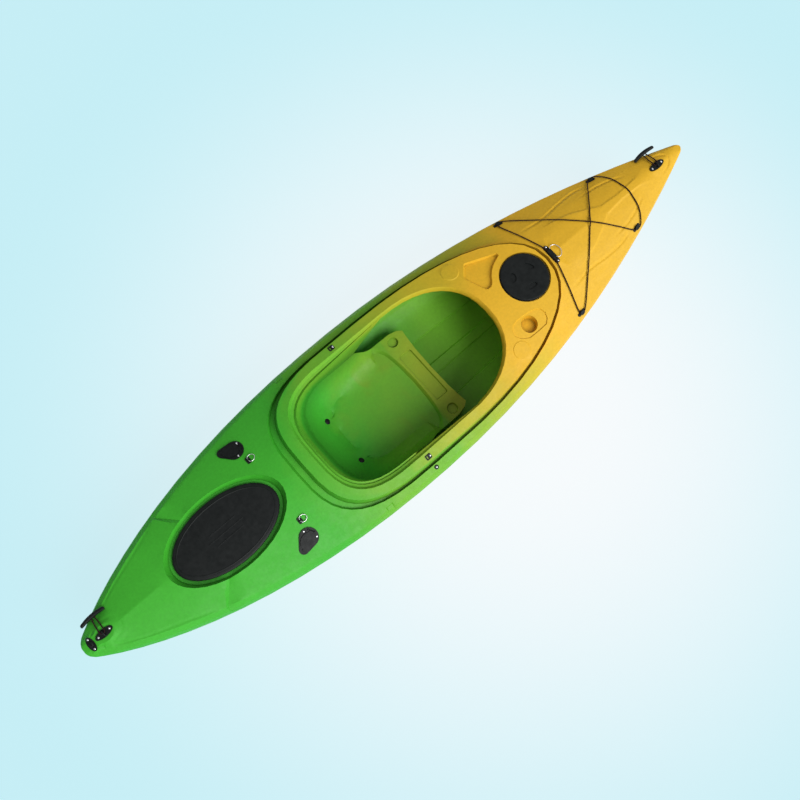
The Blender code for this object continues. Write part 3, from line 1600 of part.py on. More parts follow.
def bungee_route(pads, outer):
    """The closed loop of deck bungee: round the rear hooks, crossed, and round the front ones."""
    rear = pads["rear_port_hook"]
    front = pads["front_starboard_hook"]
    saddle = pads["centre_saddle"]
    rear_spot = rear.frame.translation
    front_spot = front.frame.translation
    tunnel = [saddle.at(-0.0035, v, 0.0064) for v in (0.0, centre_block_half + 0.002)]
    first = (rear_spot - tunnel[1]).xy.normalized()
    tunnel.append(tunnel[1] + Vector((*first, 0)) * 0.024)
    diagonal = (front_spot - rear_spot).xy.normalized()
    side = -front_spot.y
    loop = [(front_hook_x + reach, -side * share) for reach, share in bow_loop]
    nose = Vector((loop[0][0] - front_spot.x, loop[0][1] - front_spot.y)).normalized()
    at_rear = hook_bend_points(rear, first, diagonal, -1)
    at_front = hook_bend_points(front, diagonal, nose, 1)
    half = [*tunnel, *taut(outer, tunnel[2], at_rear[0], count=12), *at_rear]
    over = taut(outer, at_rear[-1], at_front[0])
    half += [*over, *at_front]
    half += [resting(outer, x, y) for x, y in loop]
    other = [Vector((p.x, -p.y, p.z)) for p in reversed(half[1:-1])]
    return half, other


def make_bungee(pads, outer):
    form = hook()
    for name in ("port", "starboard"):
        for place in ("rear", "front"):
            key = f"{place}_{name}_hook"
            add(key, form, "black", pads[key].frame)
    half, other = bungee_route(pads, outer)
    lifted = []
    crossing = min(range(len(other) - 1), key=lambda k: abs(other[k].y) + abs(other[k + 1].y))
    for k, point in enumerate(other):
        lifted.append(point)
        if k == crossing:
            a, b = other[k], other[k + 1]
            share = a.y / (a.y - b.y)
            middle = a.lerp(b, share)
            way = (b - a).normalized()
            for reach, lift in ((-0.022, 0.0020), (-0.008, 0.0056), (0.008, 0.0056), (0.022, 0.0020)):
                lifted.append(middle + way * reach + Vector((0, 0, lift)))
    cord = wire("bungee", half + lifted, cord_radius, closed=True, sides=2)
    add("bungee_cord", mesh_of(cord), "cord")


def side_wall(outer, x, z):
    """A point on the inside of the port wall, and the way from it into the hull."""
    spot, normal, _, _ = outer.ray_cast(Vector((x, 0, z)), Vector((0, 1, 0)))
    inward = -normal if normal.y > 0 else normal
    return spot + inward * wall, inward


def make_foot_braces(outer):
    """A rail on two posts inside each wall, with a pedal that slides along it."""
    rear, rear_way = side_wall(outer, rail_rear, rail_height)
    front, front_way = side_wall(outer, rail_front, rail_height)
    ends = (rear + rear_way * rail_stand_off, front + front_way * rail_stand_off)
    along = (ends[1] - ends[0]).normalized()
    normal = rear_way + front_way
    normal = (normal - along * normal.dot(along)).normalized()
    up = normal.cross(along)
    middle = (ends[0] + ends[1]) / 2
    half = (ends[1] - ends[0]).length / 2
    for side, name in ((1, "port"), (-1, "starboard")):
        flip = Matrix.Diagonal((1, side, 1, 1))
        frame = Matrix((along, up, normal)).transposed().to_4x4()
        frame.translation = middle
        into = frame.inverted()
        bar = block("bar", (-half - 0.012, -0.012, -0.004), (half + 0.012, 0.012, 0.004))
        posts = []
        for wall_spot, way, end in ((rear, rear_way, ends[0]), (front, front_way, ends[1])):
            foot = into @ (wall_spot + way * 0.0006)
            posts.append(rod("post", 0.009, foot, into @ (end + way * 0.001), 12))
        data = shaped(bar, posts)
        place_mirrored(name + "_foot_rail", data, "black", frame, flip, side)
        carriage = block("carriage", (-0.022, -0.0175, -0.0085), (0.022, 0.0175, 0.0115))
        channel = block("channel", (-0.03, -0.0126, -0.0046), (0.03, 0.0126, 0.0046))
        pedal = block("pedal", (-0.006, -0.034, 0.0100), (0.006, 0.046, 0.0900), 0.003)
        data = shaped(carriage, [pedal], [channel])
        place_mirrored(name + "_foot_pedal", data, "black", frame, flip, side)


def place_mirrored(name, data, finish, frame, flip, side):
    """Places a port piece, or its mirror image to starboard with the frame turned to match."""
    if side > 0:
        return add(name, data, finish, frame)
    across = Matrix.Diagonal((1, -1, 1, 1))
    data.transform(across)
    data.flip_normals()
    return add(name, data, finish, flip @ frame @ across)


def main():
    for obj in list(bpy.data.objects):
        bpy.data.objects.remove(obj)
    pads = make_pads()
    outer = make_hull(pads)
    make_toggles(pads)
    make_drain(pads)
    make_stern_hatch()
    make_deck_plate()
    make_rod_holders(pads)
    make_ring_saddles(pads)
    make_small_fittings(pads)
    make_bungee(pads, outer)
    make_foot_braces(outer)


main()
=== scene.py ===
import json
import math

import bmesh
import bpy
from mathutils import Matrix, Vector, geometry

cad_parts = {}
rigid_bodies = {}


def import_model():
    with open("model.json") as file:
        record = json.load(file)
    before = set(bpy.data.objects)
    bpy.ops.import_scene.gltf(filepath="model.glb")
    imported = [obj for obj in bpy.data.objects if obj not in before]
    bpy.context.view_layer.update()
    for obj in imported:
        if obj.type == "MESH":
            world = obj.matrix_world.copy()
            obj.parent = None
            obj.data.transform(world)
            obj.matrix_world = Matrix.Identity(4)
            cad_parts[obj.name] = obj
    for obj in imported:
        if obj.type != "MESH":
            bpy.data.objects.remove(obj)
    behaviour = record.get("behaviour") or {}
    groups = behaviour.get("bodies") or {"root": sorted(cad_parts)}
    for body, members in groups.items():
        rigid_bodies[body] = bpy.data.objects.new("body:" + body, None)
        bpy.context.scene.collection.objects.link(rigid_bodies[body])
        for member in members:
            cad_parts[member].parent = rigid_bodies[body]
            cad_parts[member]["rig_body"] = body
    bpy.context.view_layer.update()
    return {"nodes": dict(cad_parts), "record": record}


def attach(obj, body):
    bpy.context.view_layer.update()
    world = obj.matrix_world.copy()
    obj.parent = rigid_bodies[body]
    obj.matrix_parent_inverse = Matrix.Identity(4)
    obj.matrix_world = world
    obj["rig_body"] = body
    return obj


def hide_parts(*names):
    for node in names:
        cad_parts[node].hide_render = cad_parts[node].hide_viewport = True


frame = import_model()
cadNodes = frame["nodes"]
slotOf = {part["node"]: part["material_slot"] for part in frame["record"]["subparts"]}

# Camera, floor and light

photoCamera = {
    "place": (-0.8706, -0.5274, 3.9447),
    "tilt": (-0.1417, 0.2017, -0.0024),
    "roll": math.radians(40.4),
    "lens": 45.0,
    "sensor": 36.0,
    "shift": (0.0225, 0.0025),
    "clip": (0.05, 60.0),
}


def makeCamera():
    data = bpy.data.cameras.new("camera")
    data.lens = photoCamera["lens"]
    data.sensor_width = photoCamera["sensor"]
    data.shift_x, data.shift_y = photoCamera["shift"]
    data.clip_start, data.clip_end = photoCamera["clip"]
    x, y, z = photoCamera["tilt"]
    tilt = Matrix.Rotation(z, 3, "Z") @ Matrix.Rotation(y, 3, "Y") @ Matrix.Rotation(x, 3, "X")
    turn = tilt.transposed() @ Matrix.Rotation(-photoCamera["roll"], 3, "Z")
    camera = bpy.data.objects.new("camera", data)
    camera.matrix_world = Matrix.Translation(photoCamera["place"]) @ turn.to_4x4()
    bpy.context.scene.collection.objects.link(camera)
    bpy.context.scene.camera = camera


# Node building

def addNode(tree, kind, inputs=None, **settings):
    made = tree.nodes.new("ShaderNode" + kind)
    for key, value in settings.items():
        setattr(made, key, value)
    for key, value in (inputs or {}).items():
        if isinstance(value, bpy.types.NodeSocket):
            tree.links.new(value, made.inputs[key])
        else:
            made.inputs[key].default_value = value
    return made


def calc(tree, operation, first, second=0.0, third=0.0):
    return addNode(tree, "Math", {0: first, 1: second, 2: third}, operation=operation).outputs[0]


def fade(tree, value, start, end, low=0.0, high=1.0):
    # A smooth step of a value between two places
    return addNode(tree, "MapRange", {
        "Value": value, "From Min": start, "From Max": end, "To Min": low, "To Max": high,
    }, interpolation_type="SMOOTHSTEP").outputs["Result"]


noiseSpan = (0.3, 0.7)  # most of a noise lies between these


def noise(tree, where, scale, detail=2.0, roughness=0.5, distortion=0.0):
    return addNode(tree, "TexNoise", {
        "Vector": where, "Scale": scale, "Detail": detail, "Roughness": roughness,
        "Distortion": distortion,
    }).outputs["Fac"]


def ramp(tree, value, stops):
    made = addNode(tree, "ValToRGB", {"Fac": value})
    points = made.color_ramp.elements
    while len(points) < len(stops):
        points.new(0.5)
    for point, (place, colour) in zip(points, stops):
        point.position = place
        point.color = (*colour, 1.0)
    return made.outputs["Color"]


def blendColours(tree, share, one, two, mode="MIX"):
    made = addNode(tree, "Mix", data_type="RGBA", blend_type=mode)
    for key, value in ((0, share), (6, one), (7, two)):
        if isinstance(value, bpy.types.NodeSocket):
            tree.links.new(value, made.inputs[key])
        elif key == 0:
            made.inputs[key].default_value = value
        else:
            made.inputs[key].default_value = (*value, 1.0)
    return made.outputs[2]


def newMaterial(name):
    material = bpy.data.materials.new(name)
    material.use_nodes = True
    tree = material.node_tree
    return material, tree, tree.nodes["Principled BSDF"]


def bump(tree, shader, layers):
    # Each layer is a height, its strength and its depth in metres
    normal = None
    for height, strength, depth in layers:
        inputs = {"Height": height, "Strength": strength, "Distance": depth}
        if normal is not None:
            inputs["Normal"] = normal
        normal = addNode(tree, "Bump", inputs).outputs["Normal"]
    tree.links.new(normal, shader.inputs["Normal"])


studio = {
    "floorCentre": (0.35, -0.35),
    "paleCentre": (0.930, 0.965, 0.985),
    "paleEdge": (0.570, 0.862, 0.925),
    "paleReach": (0.2, 2.3),
    "floorRadius": 30.0,
    "floorSides": 96,
    "floorDrop": 0.0008,
    "floorRoughness": 0.9,
    "floorOwnLight": 0.93,  # how much of the floor's look is its own colour and not the lamps'
    "keyFrom": (0.10, -0.72, 0.68),
    "keyStrength": 3.15,
    "keySize": math.radians(46),
    "fillPlace": (0, 0.3, 3.2),
    "fillSize": (4.5, 2.5),
    "fillPower": 8.0,
    "skyStrength": 0.19,
    "skyGloss": 0.50,  # what shiny pieces mirror
}


def makeFloor():
    mesh = bmesh.new()
    bmesh.ops.create_circle(mesh, cap_ends=True, segments=studio["floorSides"],
                            radius=studio["floorRadius"])
    bmesh.ops.translate(mesh, verts=mesh.verts, vec=(0, 0, -studio["floorDrop"]))
    data = bpy.data.meshes.new("floor")
    mesh.to_mesh(data)
    mesh.free()
    floor = bpy.data.objects.new("floor", data)
    bpy.context.scene.collection.objects.link(floor)
    material, tree, shader = newMaterial("paleFloor")
    place = addNode(tree, "TexCoord").outputs["Object"]
    x, y = studio["floorCentre"]
    centred = addNode(tree, "Mapping", {"Vector": place, "Location": (-x, -y, 0)}).outputs[0]
    reach = addNode(tree, "VectorMath", {0: centred}, operation="LENGTH").outputs["Value"]
    share = fade(tree, reach, *studio["paleReach"])
    colour = blendColours(tree, share, studio["paleCentre"], studio["paleEdge"])
    tree.links.new(colour, shader.inputs["Base Color"])
    shader.inputs["Roughness"].default_value = studio["floorRoughness"]
    shader.inputs["Specular IOR Level"].default_value = 0.0
    glow = addNode(tree, "Emission", {"Color": colour, "Strength": 1.0}).outputs[0]
    path = addNode(tree, "LightPath")
    seen = calc(tree, "MAXIMUM", path.outputs["Is Camera Ray"], path.outputs["Is Glossy Ray"])
    own = calc(tree, "MULTIPLY", seen, studio["floorOwnLight"])
    mixed = addNode(tree, "MixShader", {0: own, 1: shader.outputs[0], 2: glow})
    output = tree.nodes["Material Output"]
    tree.links.new(mixed.outputs[0], output.inputs["Surface"])
    data.materials.append(material)


def makeLight():
    key = bpy.data.lights.new("key", "SUN")
    key.energy = studio["keyStrength"]
    key.angle = studio["keySize"]
    keyLamp = bpy.data.objects.new("key", key)
    keyLamp.rotation_mode = "QUATERNION"
    keyLamp.rotation_quaternion = Vector(studio["keyFrom"]).to_track_quat("Z", "Y")
    fill = bpy.data.lights.new("fill", "AREA")
    fill.shape = "RECTANGLE"
    fill.size, fill.size_y = studio["fillSize"]
    fill.energy = studio["fillPower"]
    fillLamp = bpy.data.objects.new("fill", fill)
    fillLamp.location = studio["fillPlace"]
    for lamp in (keyLamp, fillLamp):
        bpy.context.scene.collection.objects.link(lamp)
    world = bpy.data.worlds.new("studio")
    bpy.context.scene.world = world
    world.use_nodes = True
    tree = world.node_tree
    path = addNode(tree, "LightPath")
    seen = path.outputs["Is Camera Ray"]
    gloss = calc(tree, "MAXIMUM", path.outputs["Is Glossy Ray"], path.outputs["Is Transmission Ray"])
    strength = fade(tree, gloss, 0.0, 1.0, studio["skyStrength"], studio["skyGloss"])
    strength = calc(tree, "MAXIMUM", strength, seen)
    back = tree.nodes["Background"]
    colour = blendColours(tree, seen, (1.0, 1.0, 1.0), studio["paleEdge"])
    tree.links.new(colour, back.inputs["Color"])
    tree.links.new(strength, back.inputs["Strength"])


makeCamera()
makeFloor()
makeLight()
bpy.context.scene.view_settings.view_transform = "Standard"
print("camera, floor and light")

# Finishes

hullFinish = {
    "green": (0.050, 0.420, 0.026),
    "lime": (0.160, 0.440, 0.028),
    "olive": (0.340, 0.450, 0.026),
    "yellow": (0.560, 0.450, 0.024),
    "amber": (0.780, 0.450, 0.024),
    "rampLength": 3.0,
    "swirl": {"pattern": (2.4, 3.0, 0.55, 0.6), "reach": 0.30},
    "fineSwirl": {"pattern": (16.0, 5.0, 0.65, 0.4), "reach": 0.07},
    "ramp": ((0.30, "green"), (0.40, "lime"), (0.50, "lime"), (0.565, "olive"), (0.65, "yellow"),
             (0.72, "amber")),
    "coaming": {"rear": -0.50, "rearMiddle": -0.10, "front": 0.739, "half": 0.295, "power": 2.7,
                "edge": (1.02, 0.98)},
    "coamingShift": {"from": -0.50, "to": -0.12, "shift": 0.26},
    # painted shade of the port side, which faces away from the key light
    "portShadeShift": {"half": 0.30, "shift": -0.14},
    "undersideShift": {"top": 0.10, "bottom": 0.02, "shift": -0.30},
    "tub": {"top": 0.29, "bottom": 0.18, "shift": -0.44},
    "bar": {"middle": 0.135, "half": 0.09, "flatHalf": 0.045, "low": 0.05, "high": 0.075, "shift": 0.26},
    "smear": {"colour": (0.300, 0.330, 0.020), "middle": (-0.06, 0.03, 0.08), "reach": (0.30, 0.08),
              "pattern": (7.0, 3.0, 0.5, 0.8), "limits": (0.46, 0.74), "most": 0.34},
    "mottle": {"pattern": (95.0, 3.0, 0.6), "limits": (0.25, 0.75), "depth": 0.05},
    "swirlShade": 0.16,
    "tubShade": 0.84,
    "wallShade": {"low": 0.11, "high": 0.19, "shade": 0.58},
    "footwellShade": {"rear": 0.18, "front": 0.42, "high": 0.12, "low": 0.06, "shade": 1.75},
    # painted shade in the creases, from ambient occlusion
    "creaseShade": {"reach": 0.035, "limits": (0.25, 0.85), "shade": 0.46, "samples": 12},
    "gloss": {"pattern": (38.0, 4.0, 0.6), "smooth": 0.48, "rough": 0.60, "specular": 0.28},
    "skin": {"pattern": (26.0, 2.0), "strength": 0.30, "depth": 0.0016},
    "grain": {"pattern": (330.0, 2.0, 0.6), "strength": 0.22, "depth": 0.0003},
}


def offCentre(tree, place, pattern):
    # A cloudy value between minus and plus a half
    return calc(tree, "SUBTRACT", noise(tree, place, *pattern), 0.5)


def withinCoaming(tree, x, y):
    # One inside the oval outline of the coaming and the console, nought outside
    oval = hullFinish["coaming"]
    power = oval["power"]
    side = calc(tree, "DIVIDE", calc(tree, "ABSOLUTE", y), oval["half"])
    behind = calc(tree, "SUBTRACT", oval["rearMiddle"], x)
    behind = calc(tree, "DIVIDE", behind, oval["rearMiddle"] - oval["rear"])
    ahead = calc(tree, "DIVIDE", x, oval["front"])
    reach = calc(tree, "MAXIMUM", calc(tree, "MAXIMUM", behind, ahead), 0.0)
    reach = calc(tree, "ADD", calc(tree, "POWER", reach, power), calc(tree, "POWER", side, power))
    return fade(tree, calc(tree, "POWER", reach, 1 / power), *oval["edge"])


def powderColour(tree, place, parts, broad, within, tubShare):
    # The two powders melt into each other along the boat. The coaming and the console took more
    # of the amber one, the tub and the underside less. The port side is moved towards the darker green as
    # painted shade
    x, y, height = parts["X"], parts["Y"], parts["Z"]
    along = calc(tree, "MULTIPLY_ADD", broad, hullFinish["swirl"]["reach"], x)
    fine = hullFinish["fineSwirl"]
    along = calc(tree, "MULTIPLY_ADD", offCentre(tree, place, fine["pattern"]), fine["reach"], along)
    rule = hullFinish["coamingShift"]
    forward = fade(tree, x, rule["from"], rule["to"], 0.0, rule["shift"])
    along = calc(tree, "MULTIPLY_ADD", within, forward, along)
    # Painted shade: the port side, turned away from the key light, is moved towards the darker green end
    # of the ramp
    rule = hullFinish["portShadeShift"]
    along = calc(tree, "ADD", along, fade(tree, y, 0.0, rule["half"], 0.0, rule["shift"]))
    along = calc(tree, "MULTIPLY_ADD", tubShare, hullFinish["tub"]["shift"], along)
    rule = hullFinish["bar"]
    away = calc(tree, "ABSOLUTE", calc(tree, "SUBTRACT", x, rule["middle"]))
    bar = calc(tree, "MULTIPLY", fade(tree, away, rule["half"], rule["flatHalf"]), tubShare)
    bar = calc(tree, "MULTIPLY", bar, fade(tree, height, rule["low"], rule["high"]))
    along = calc(tree, "MULTIPLY_ADD", bar, rule["shift"], along)
    rule = hullFinish["undersideShift"]
    along = calc(tree, "ADD", along, fade(tree, height, rule["top"], rule["bottom"], 0.0, rule["shift"]))
    share = calc(tree, "MULTIPLY_ADD", along, 1 / hullFinish["rampLength"], 0.5)
    return ramp(tree, share, [(spot, hullFinish[name]) for spot, name in hullFinish["ramp"]])


def smeared(tree, place, colour):
    # Smears of the amber powder in the seat
    rule = hullFinish["smear"]
    away = addNode(tree, "VectorMath", {0: place, 1: rule["middle"]}, operation="DISTANCE")
    near = fade(tree, away.outputs["Value"], *rule["reach"])
    smear = fade(tree, noise(tree, place, *rule["pattern"]), *rule["limits"], 0.0, rule["most"])
    share = calc(tree, "MULTIPLY", near, smear)
    return blendColours(tree, share, colour, rule["colour"])


def darkened(tree, colour, shade):
    grey = addNode(tree, "CombineColor", {0: shade, 1: shade, 2: shade}).outputs[0]
    return blendColours(tree, 1.0, colour, grey, "MULTIPLY")


def tubDepthShade(tree, parts, tubShare):
    # Less light is left on the tub's walls, and more on the floor ahead of the bar
    x, height = parts["X"], parts["Z"]
    rule = hullFinish["wallShade"]
    deep = fade(tree, height, rule["low"], rule["high"], hullFinish["tubShade"], rule["shade"])
    rule = hullFinish["footwellShade"]
    footwell = fade(tree, x, rule["rear"], rule["front"])
    footwell = calc(tree, "MULTIPLY", footwell, fade(tree, height, rule["high"], rule["low"]))
    deep = calc(tree, "MULTIPLY", deep, fade(tree, footwell, 0.0, 1.0, 1.0, rule["shade"]))
    return calc(tree, "MULTIPLY_ADD", calc(tree, "SUBTRACT", deep, 1.0), tubShare, 1.0)


def hullPlastic():
    material, tree, shader = newMaterial("mouldedPolyethylene")
    place = addNode(tree, "TexCoord").outputs["Object"]
    parts = addNode(tree, "SeparateXYZ", {0: place}).outputs
    broad = offCentre(tree, place, hullFinish["swirl"]["pattern"])
    within = withinCoaming(tree, parts["X"], parts["Y"])
    tub = hullFinish["tub"]
    tubShare = calc(tree, "MULTIPLY", fade(tree, parts["Z"], tub["top"], tub["bottom"]), within)
    colour = powderColour(tree, place, parts, broad, within, tubShare)
    colour = smeared(tree, place, colour)
    mottle = hullFinish["mottle"]
    speck = noise(tree, place, *mottle["pattern"])
    shade = fade(tree, speck, *mottle["limits"], 1 - mottle["depth"], 1 + mottle["depth"])
    shade = calc(tree, "MULTIPLY_ADD", broad, hullFinish["swirlShade"], shade)
    shade = calc(tree, "MULTIPLY", shade, tubDepthShade(tree, parts, tubShare))
    colour = darkened(tree, colour, shade)
    # Painted shade in the creases: the colour is darkened where ambient occlusion finds near surfaces
    creaseShade = hullFinish["creaseShade"]
    hollow = addNode(tree, "AmbientOcclusion", {"Distance": creaseShade["reach"]}, samples=creaseShade["samples"])
    paintedCreaseShade = fade(tree, hollow.outputs["AO"], *creaseShade["limits"], creaseShade["shade"], 1.0)
    colour = darkened(tree, colour, paintedCreaseShade)
    tree.links.new(colour, shader.inputs["Base Color"])
    gloss = hullFinish["gloss"]
    cloud = noise(tree, place, *gloss["pattern"])
    roughness = fade(tree, cloud, *noiseSpan, gloss["smooth"], gloss["rough"])
    tree.links.new(roughness, shader.inputs["Roughness"])
    shader.inputs["Specular IOR Level"].default_value = gloss["specular"]
    layers = (hullFinish["skin"], hullFinish["grain"])
    bump(tree, shader, [(noise(tree, place, *layer["pattern"]), layer["strength"], layer["depth"])
                        for layer in layers])
    return material


plasticFinish = {
    "base": (0.0040, 0.0056, 0.0056),
    "worn": (0.0105, 0.0125, 0.0125),
    "cloud": (55.0, 4.0, 0.6),
    "roughness": (0.40, 0.55),
    "specular": 0.17,
    "grain": {"scale": 900.0, "strength": 0.25, "depth": 0.00018},
    "wave": {"scale": 120.0, "strength": 0.12, "depth": 0.0004},
}


def blackPlastic():
    material, tree, shader = newMaterial("blackMouldedPlastic")
    place = addNode(tree, "TexCoord").outputs["Object"]
    cloud = noise(tree, place, *plasticFinish["cloud"])
    colour = ramp(tree, cloud, ((0.30, plasticFinish["base"]), (0.75, plasticFinish["worn"])))
    tree.links.new(colour, shader.inputs["Base Color"])
    tree.links.new(fade(tree, cloud, *noiseSpan, *plasticFinish["roughness"]), shader.inputs["Roughness"])
    shader.inputs["Specular IOR Level"].default_value = plasticFinish["specular"]
    grain, wave = plasticFinish["grain"], plasticFinish["wave"]
    cells = addNode(tree, "TexVoronoi", {"Vector": place, "Scale": grain["scale"]}).outputs["Distance"]
    waves = noise(tree, place, wave["scale"])
    bump(tree, shader, ((cells, grain["strength"], grain["depth"]),
                        (waves, wave["strength"], wave["depth"])))
    return material


rubberFinish = {
    "clean": (0.008, 0.008, 0.009),
    "dusty": (0.024, 0.024, 0.026),
    "dust": (210.0, 5.0, 0.7),
    "roughness": (0.68, 0.86),
    "specular": 0.3,
    "relief": (0.3, 0.0002),
}


def sealRubber():
    material, tree, shader = newMaterial("sealRubber")
    place = addNode(tree, "TexCoord").outputs["Object"]
    dust = noise(tree, place, *rubberFinish["dust"])
    colour = ramp(tree, dust, ((0.35, rubberFinish["clean"]), (0.80, rubberFinish["dusty"])))
    tree.links.new(colour, shader.inputs["Base Color"])
    tree.links.new(fade(tree, dust, *noiseSpan, *rubberFinish["roughness"]), shader.inputs["Roughness"])
    shader.inputs["Specular IOR Level"].default_value = rubberFinish["specular"]
    bump(tree, shader, ((dust, *rubberFinish["relief"]),))
    return material


steelFinish = {
    "dark": (0.56, 0.57, 0.58),
    "bright": (0.74, 0.75, 0.76),
    "stretch": (60, 60, 900),
    "scratch": (9.0, 3.0, 0.6),
    "roughness": (0.18, 0.34),
    "relief": (0.15, 0.0001),
}


def stainlessSteel():
    material, tree, shader = newMaterial("stainlessSteel")
    place = addNode(tree, "TexCoord").outputs["Object"]
    stretched = addNode(tree, "Mapping", {"Vector": place, "Scale": steelFinish["stretch"]}).outputs[0]
    scratch = noise(tree, stretched, *steelFinish["scratch"])
    low, high = noiseSpan
    colour = ramp(tree, scratch, ((low, steelFinish["dark"]), (high, steelFinish["bright"])))
    tree.links.new(colour, shader.inputs["Base Color"])
    shader.inputs["Metallic"].default_value = 1.0
    tree.links.new(fade(tree, scratch, *noiseSpan, *steelFinish["roughness"]), shader.inputs["Roughness"])
    bump(tree, shader, ((scratch, *steelFinish["relief"]),))
    return material


cordFinish = {
    "yarn": (0.022, 0.007, 0.008),
    "fleck": (0.075, 0.022, 0.020),
    "pitch": 0.0018,
    "fuzz": (1400.0, 2.0, 0.7),
    "fleckFrom": {"braid": (0.55, 1.0), "fuzz": (0.35, 0.7)},
    "roughness": (0.72, 0.9),
    "sheen": 0.08,
    "specular": 0.12,
    "strandRelief": (0.7, 0.0004),
    "fuzzRelief": (0.3, 0.00012),
}


def braidedCord():
    material, tree, shader = newMaterial("braidedCord")
    place = addNode(tree, "TexCoord").outputs["Object"]
    # Small bulges of the strands, a cell for each crossing
    cells = addNode(tree, "TexVoronoi", {"Vector": place, "Scale": 1 / cordFinish["pitch"]})
    braid = calc(tree, "SUBTRACT", 1.0, cells.outputs["Distance"])
    fuzz = noise(tree, place, *cordFinish["fuzz"])
    limits = cordFinish["fleckFrom"]
    fleck = calc(tree, "MULTIPLY", fade(tree, braid, *limits["braid"]), fade(tree, fuzz, *limits["fuzz"]))
    colour = blendColours(tree, fleck, cordFinish["yarn"], cordFinish["fleck"])
    tree.links.new(colour, shader.inputs["Base Color"])
    tree.links.new(fade(tree, fuzz, *noiseSpan, *cordFinish["roughness"]), shader.inputs["Roughness"])
    shader.inputs["Sheen Weight"].default_value = cordFinish["sheen"]
    shader.inputs["Specular IOR Level"].default_value = cordFinish["specular"]
    bump(tree, shader, ((braid, *cordFinish["strandRelief"]), (fuzz, *cordFinish["fuzzRelief"])))
    return material


finishes = {
    "hull": hullPlastic(),
    "black_fittings": blackPlastic(),
    "seal_rubber": sealRubber(),
    "steel": stainlessSteel(),
    "cord": braidedCord(),
}
print("finishes")

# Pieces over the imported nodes

edges = {
    "hull": {"width": 0.0020, "segments": 2, "angle": 30, "corners": "SHARP", "keepSharp": False},
    "black_fittings": {"width": 0.00055, "segments": 2, "angle": 34, "corners": "ARC", "keepSharp": True},
    "seal_rubber": {"width": 0.0003, "segments": 2, "angle": 34, "corners": "ARC", "keepSharp": True},
}
mergeDistance = 0.00001
flatAngle = math.radians(0.6)
keptFaceted = ("stern_hatch_lid", "deck_plate_lid")  # no facet of these low domes is dissolved


def addPiece(name, data, body, slot, *replaced):
    piece = bpy.data.objects.new(name, data)
    bpy.context.scene.collection.objects.link(piece)
    data.materials.clear()
    data.materials.append(finishes[slot])
    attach(piece, body)
    if replaced:
        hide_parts(*replaced)
    return piece


def weldedCopy(node):
    mesh = bmesh.new()
    mesh.from_mesh(cadNodes[node].data)
    bmesh.ops.remove_doubles(mesh, verts=mesh.verts, dist=mergeDistance)
    return mesh


def finishMesh(mesh, name):
    data = bpy.data.meshes.new(name)
    mesh.to_mesh(data)
    mesh.free()
    data.shade_smooth()
    return data


def roundEdges(piece, rules):
    rounding = piece.modifiers.new("rounding", "BEVEL")
    rounding.width = rules["width"]
    rounding.segments = rules["segments"]
    rounding.limit_method = "ANGLE"
    rounding.angle_limit = math.radians(rules["angle"])
    rounding.miter_outer = "MITER_" + rules["corners"]
    even = piece.modifiers.new("even", "WEIGHTED_NORMAL")
    even.keep_sharp = rules["keepSharp"]


def softEdged(node):
    # The node's own form with its moulded edges rounded
    mesh = weldedCopy(node)
    if node not in keptFaceted:
        bmesh.ops.dissolve_limit(mesh, angle_limit=flatAngle, verts=mesh.verts, edges=mesh.edges)
    data = finishMesh(mesh, node + "_soft")
    piece = addPiece(node + "_soft", data, cadNodes[node]["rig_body"], slotOf[node], node)
    roundEdges(piece, edges[slotOf[node]])


hullShape = {
    "fineLength": 0.0090,  # longest edge where lines are pressed in
    "broadLength": 0.022,
    "tubLength": 0.016,
    "cuttingRounds": 5,
    "bowStart": 0.74,
    "sternEnd": -1.02,
    "lineMargin": 0.02,
    "keptAngle": 14,  # edges sharper than this stay where they are
    "tubKeptAngle": 34,
    "tubHalf": 0.235,
    "tubTop": 0.262,
    "tubEnds": (-0.44, 0.42),
    "smoothing": 24,
    "tubSmoothing": 30,
    "top": {"slope": 0.12, "low": 0.012},
    "side": {"slope": 0.4, "high": 0.2},
    "deck": {"slope": 0.5, "low": 0.2},
    "lineWidth": 0.0042,
    "lineReach": 4,  # in line widths, like the next
    "shoulderPlace": 2,
    "lineDepth": {"bow": 0.0024, "stern": 0.0013},
    "shoulder": {"bow": 0.30, "stern": 0.08},
    "fadeLength": 0.040,
    "bowLines": (
        ((0.755, 0.154), (0.829, 0.141), (0.883, 0.139), (0.960, 0.144), (1.036, 0.142), (1.095, 0.128)),
        ((1.026, 0.107), (1.107, 0.098), (1.176, 0.080), (1.240, 0.050)),
        ((1.346, 0.045), (1.394, 0.032), (1.420, 0.014), (1.427, 0.000)),
    ),
    "sternLines": (
        ((-1.040, 0.204), (-1.103, 0.178), (-1.181, 0.148), (-1.287, 0.110), (-1.361, 0.076),
         (-1.397, 0.056), (-1.402, 0.045), (-1.385, 0.039), (-1.356, 0.033), (-1.341, 0.016),
         (-1.337, 0.000)),
    ),
}


def smoothLine(points, steps=6):
    # A rounder line that passes through the points
    spots = [Vector((*point, 0)) for point in points]
    line = []
    for k in range(len(spots) - 1):
        one, two = spots[k], spots[k + 1]
        before = spots[k - 1] if k else spots[0] * 2 - spots[1]
        after = spots[k + 2] if k + 2 < len(spots) else spots[-1] * 2 - spots[-2]
        for step in range(steps):
            t = step / steps
            square = (2 * before - 5 * one + 4 * two - after) * t**2
            cube = (3 * one - before - 3 * two + after) * t**3
            line.append(0.5 * (2 * one + (two - before) * t + square + cube))
    return line + [spots[-1]]


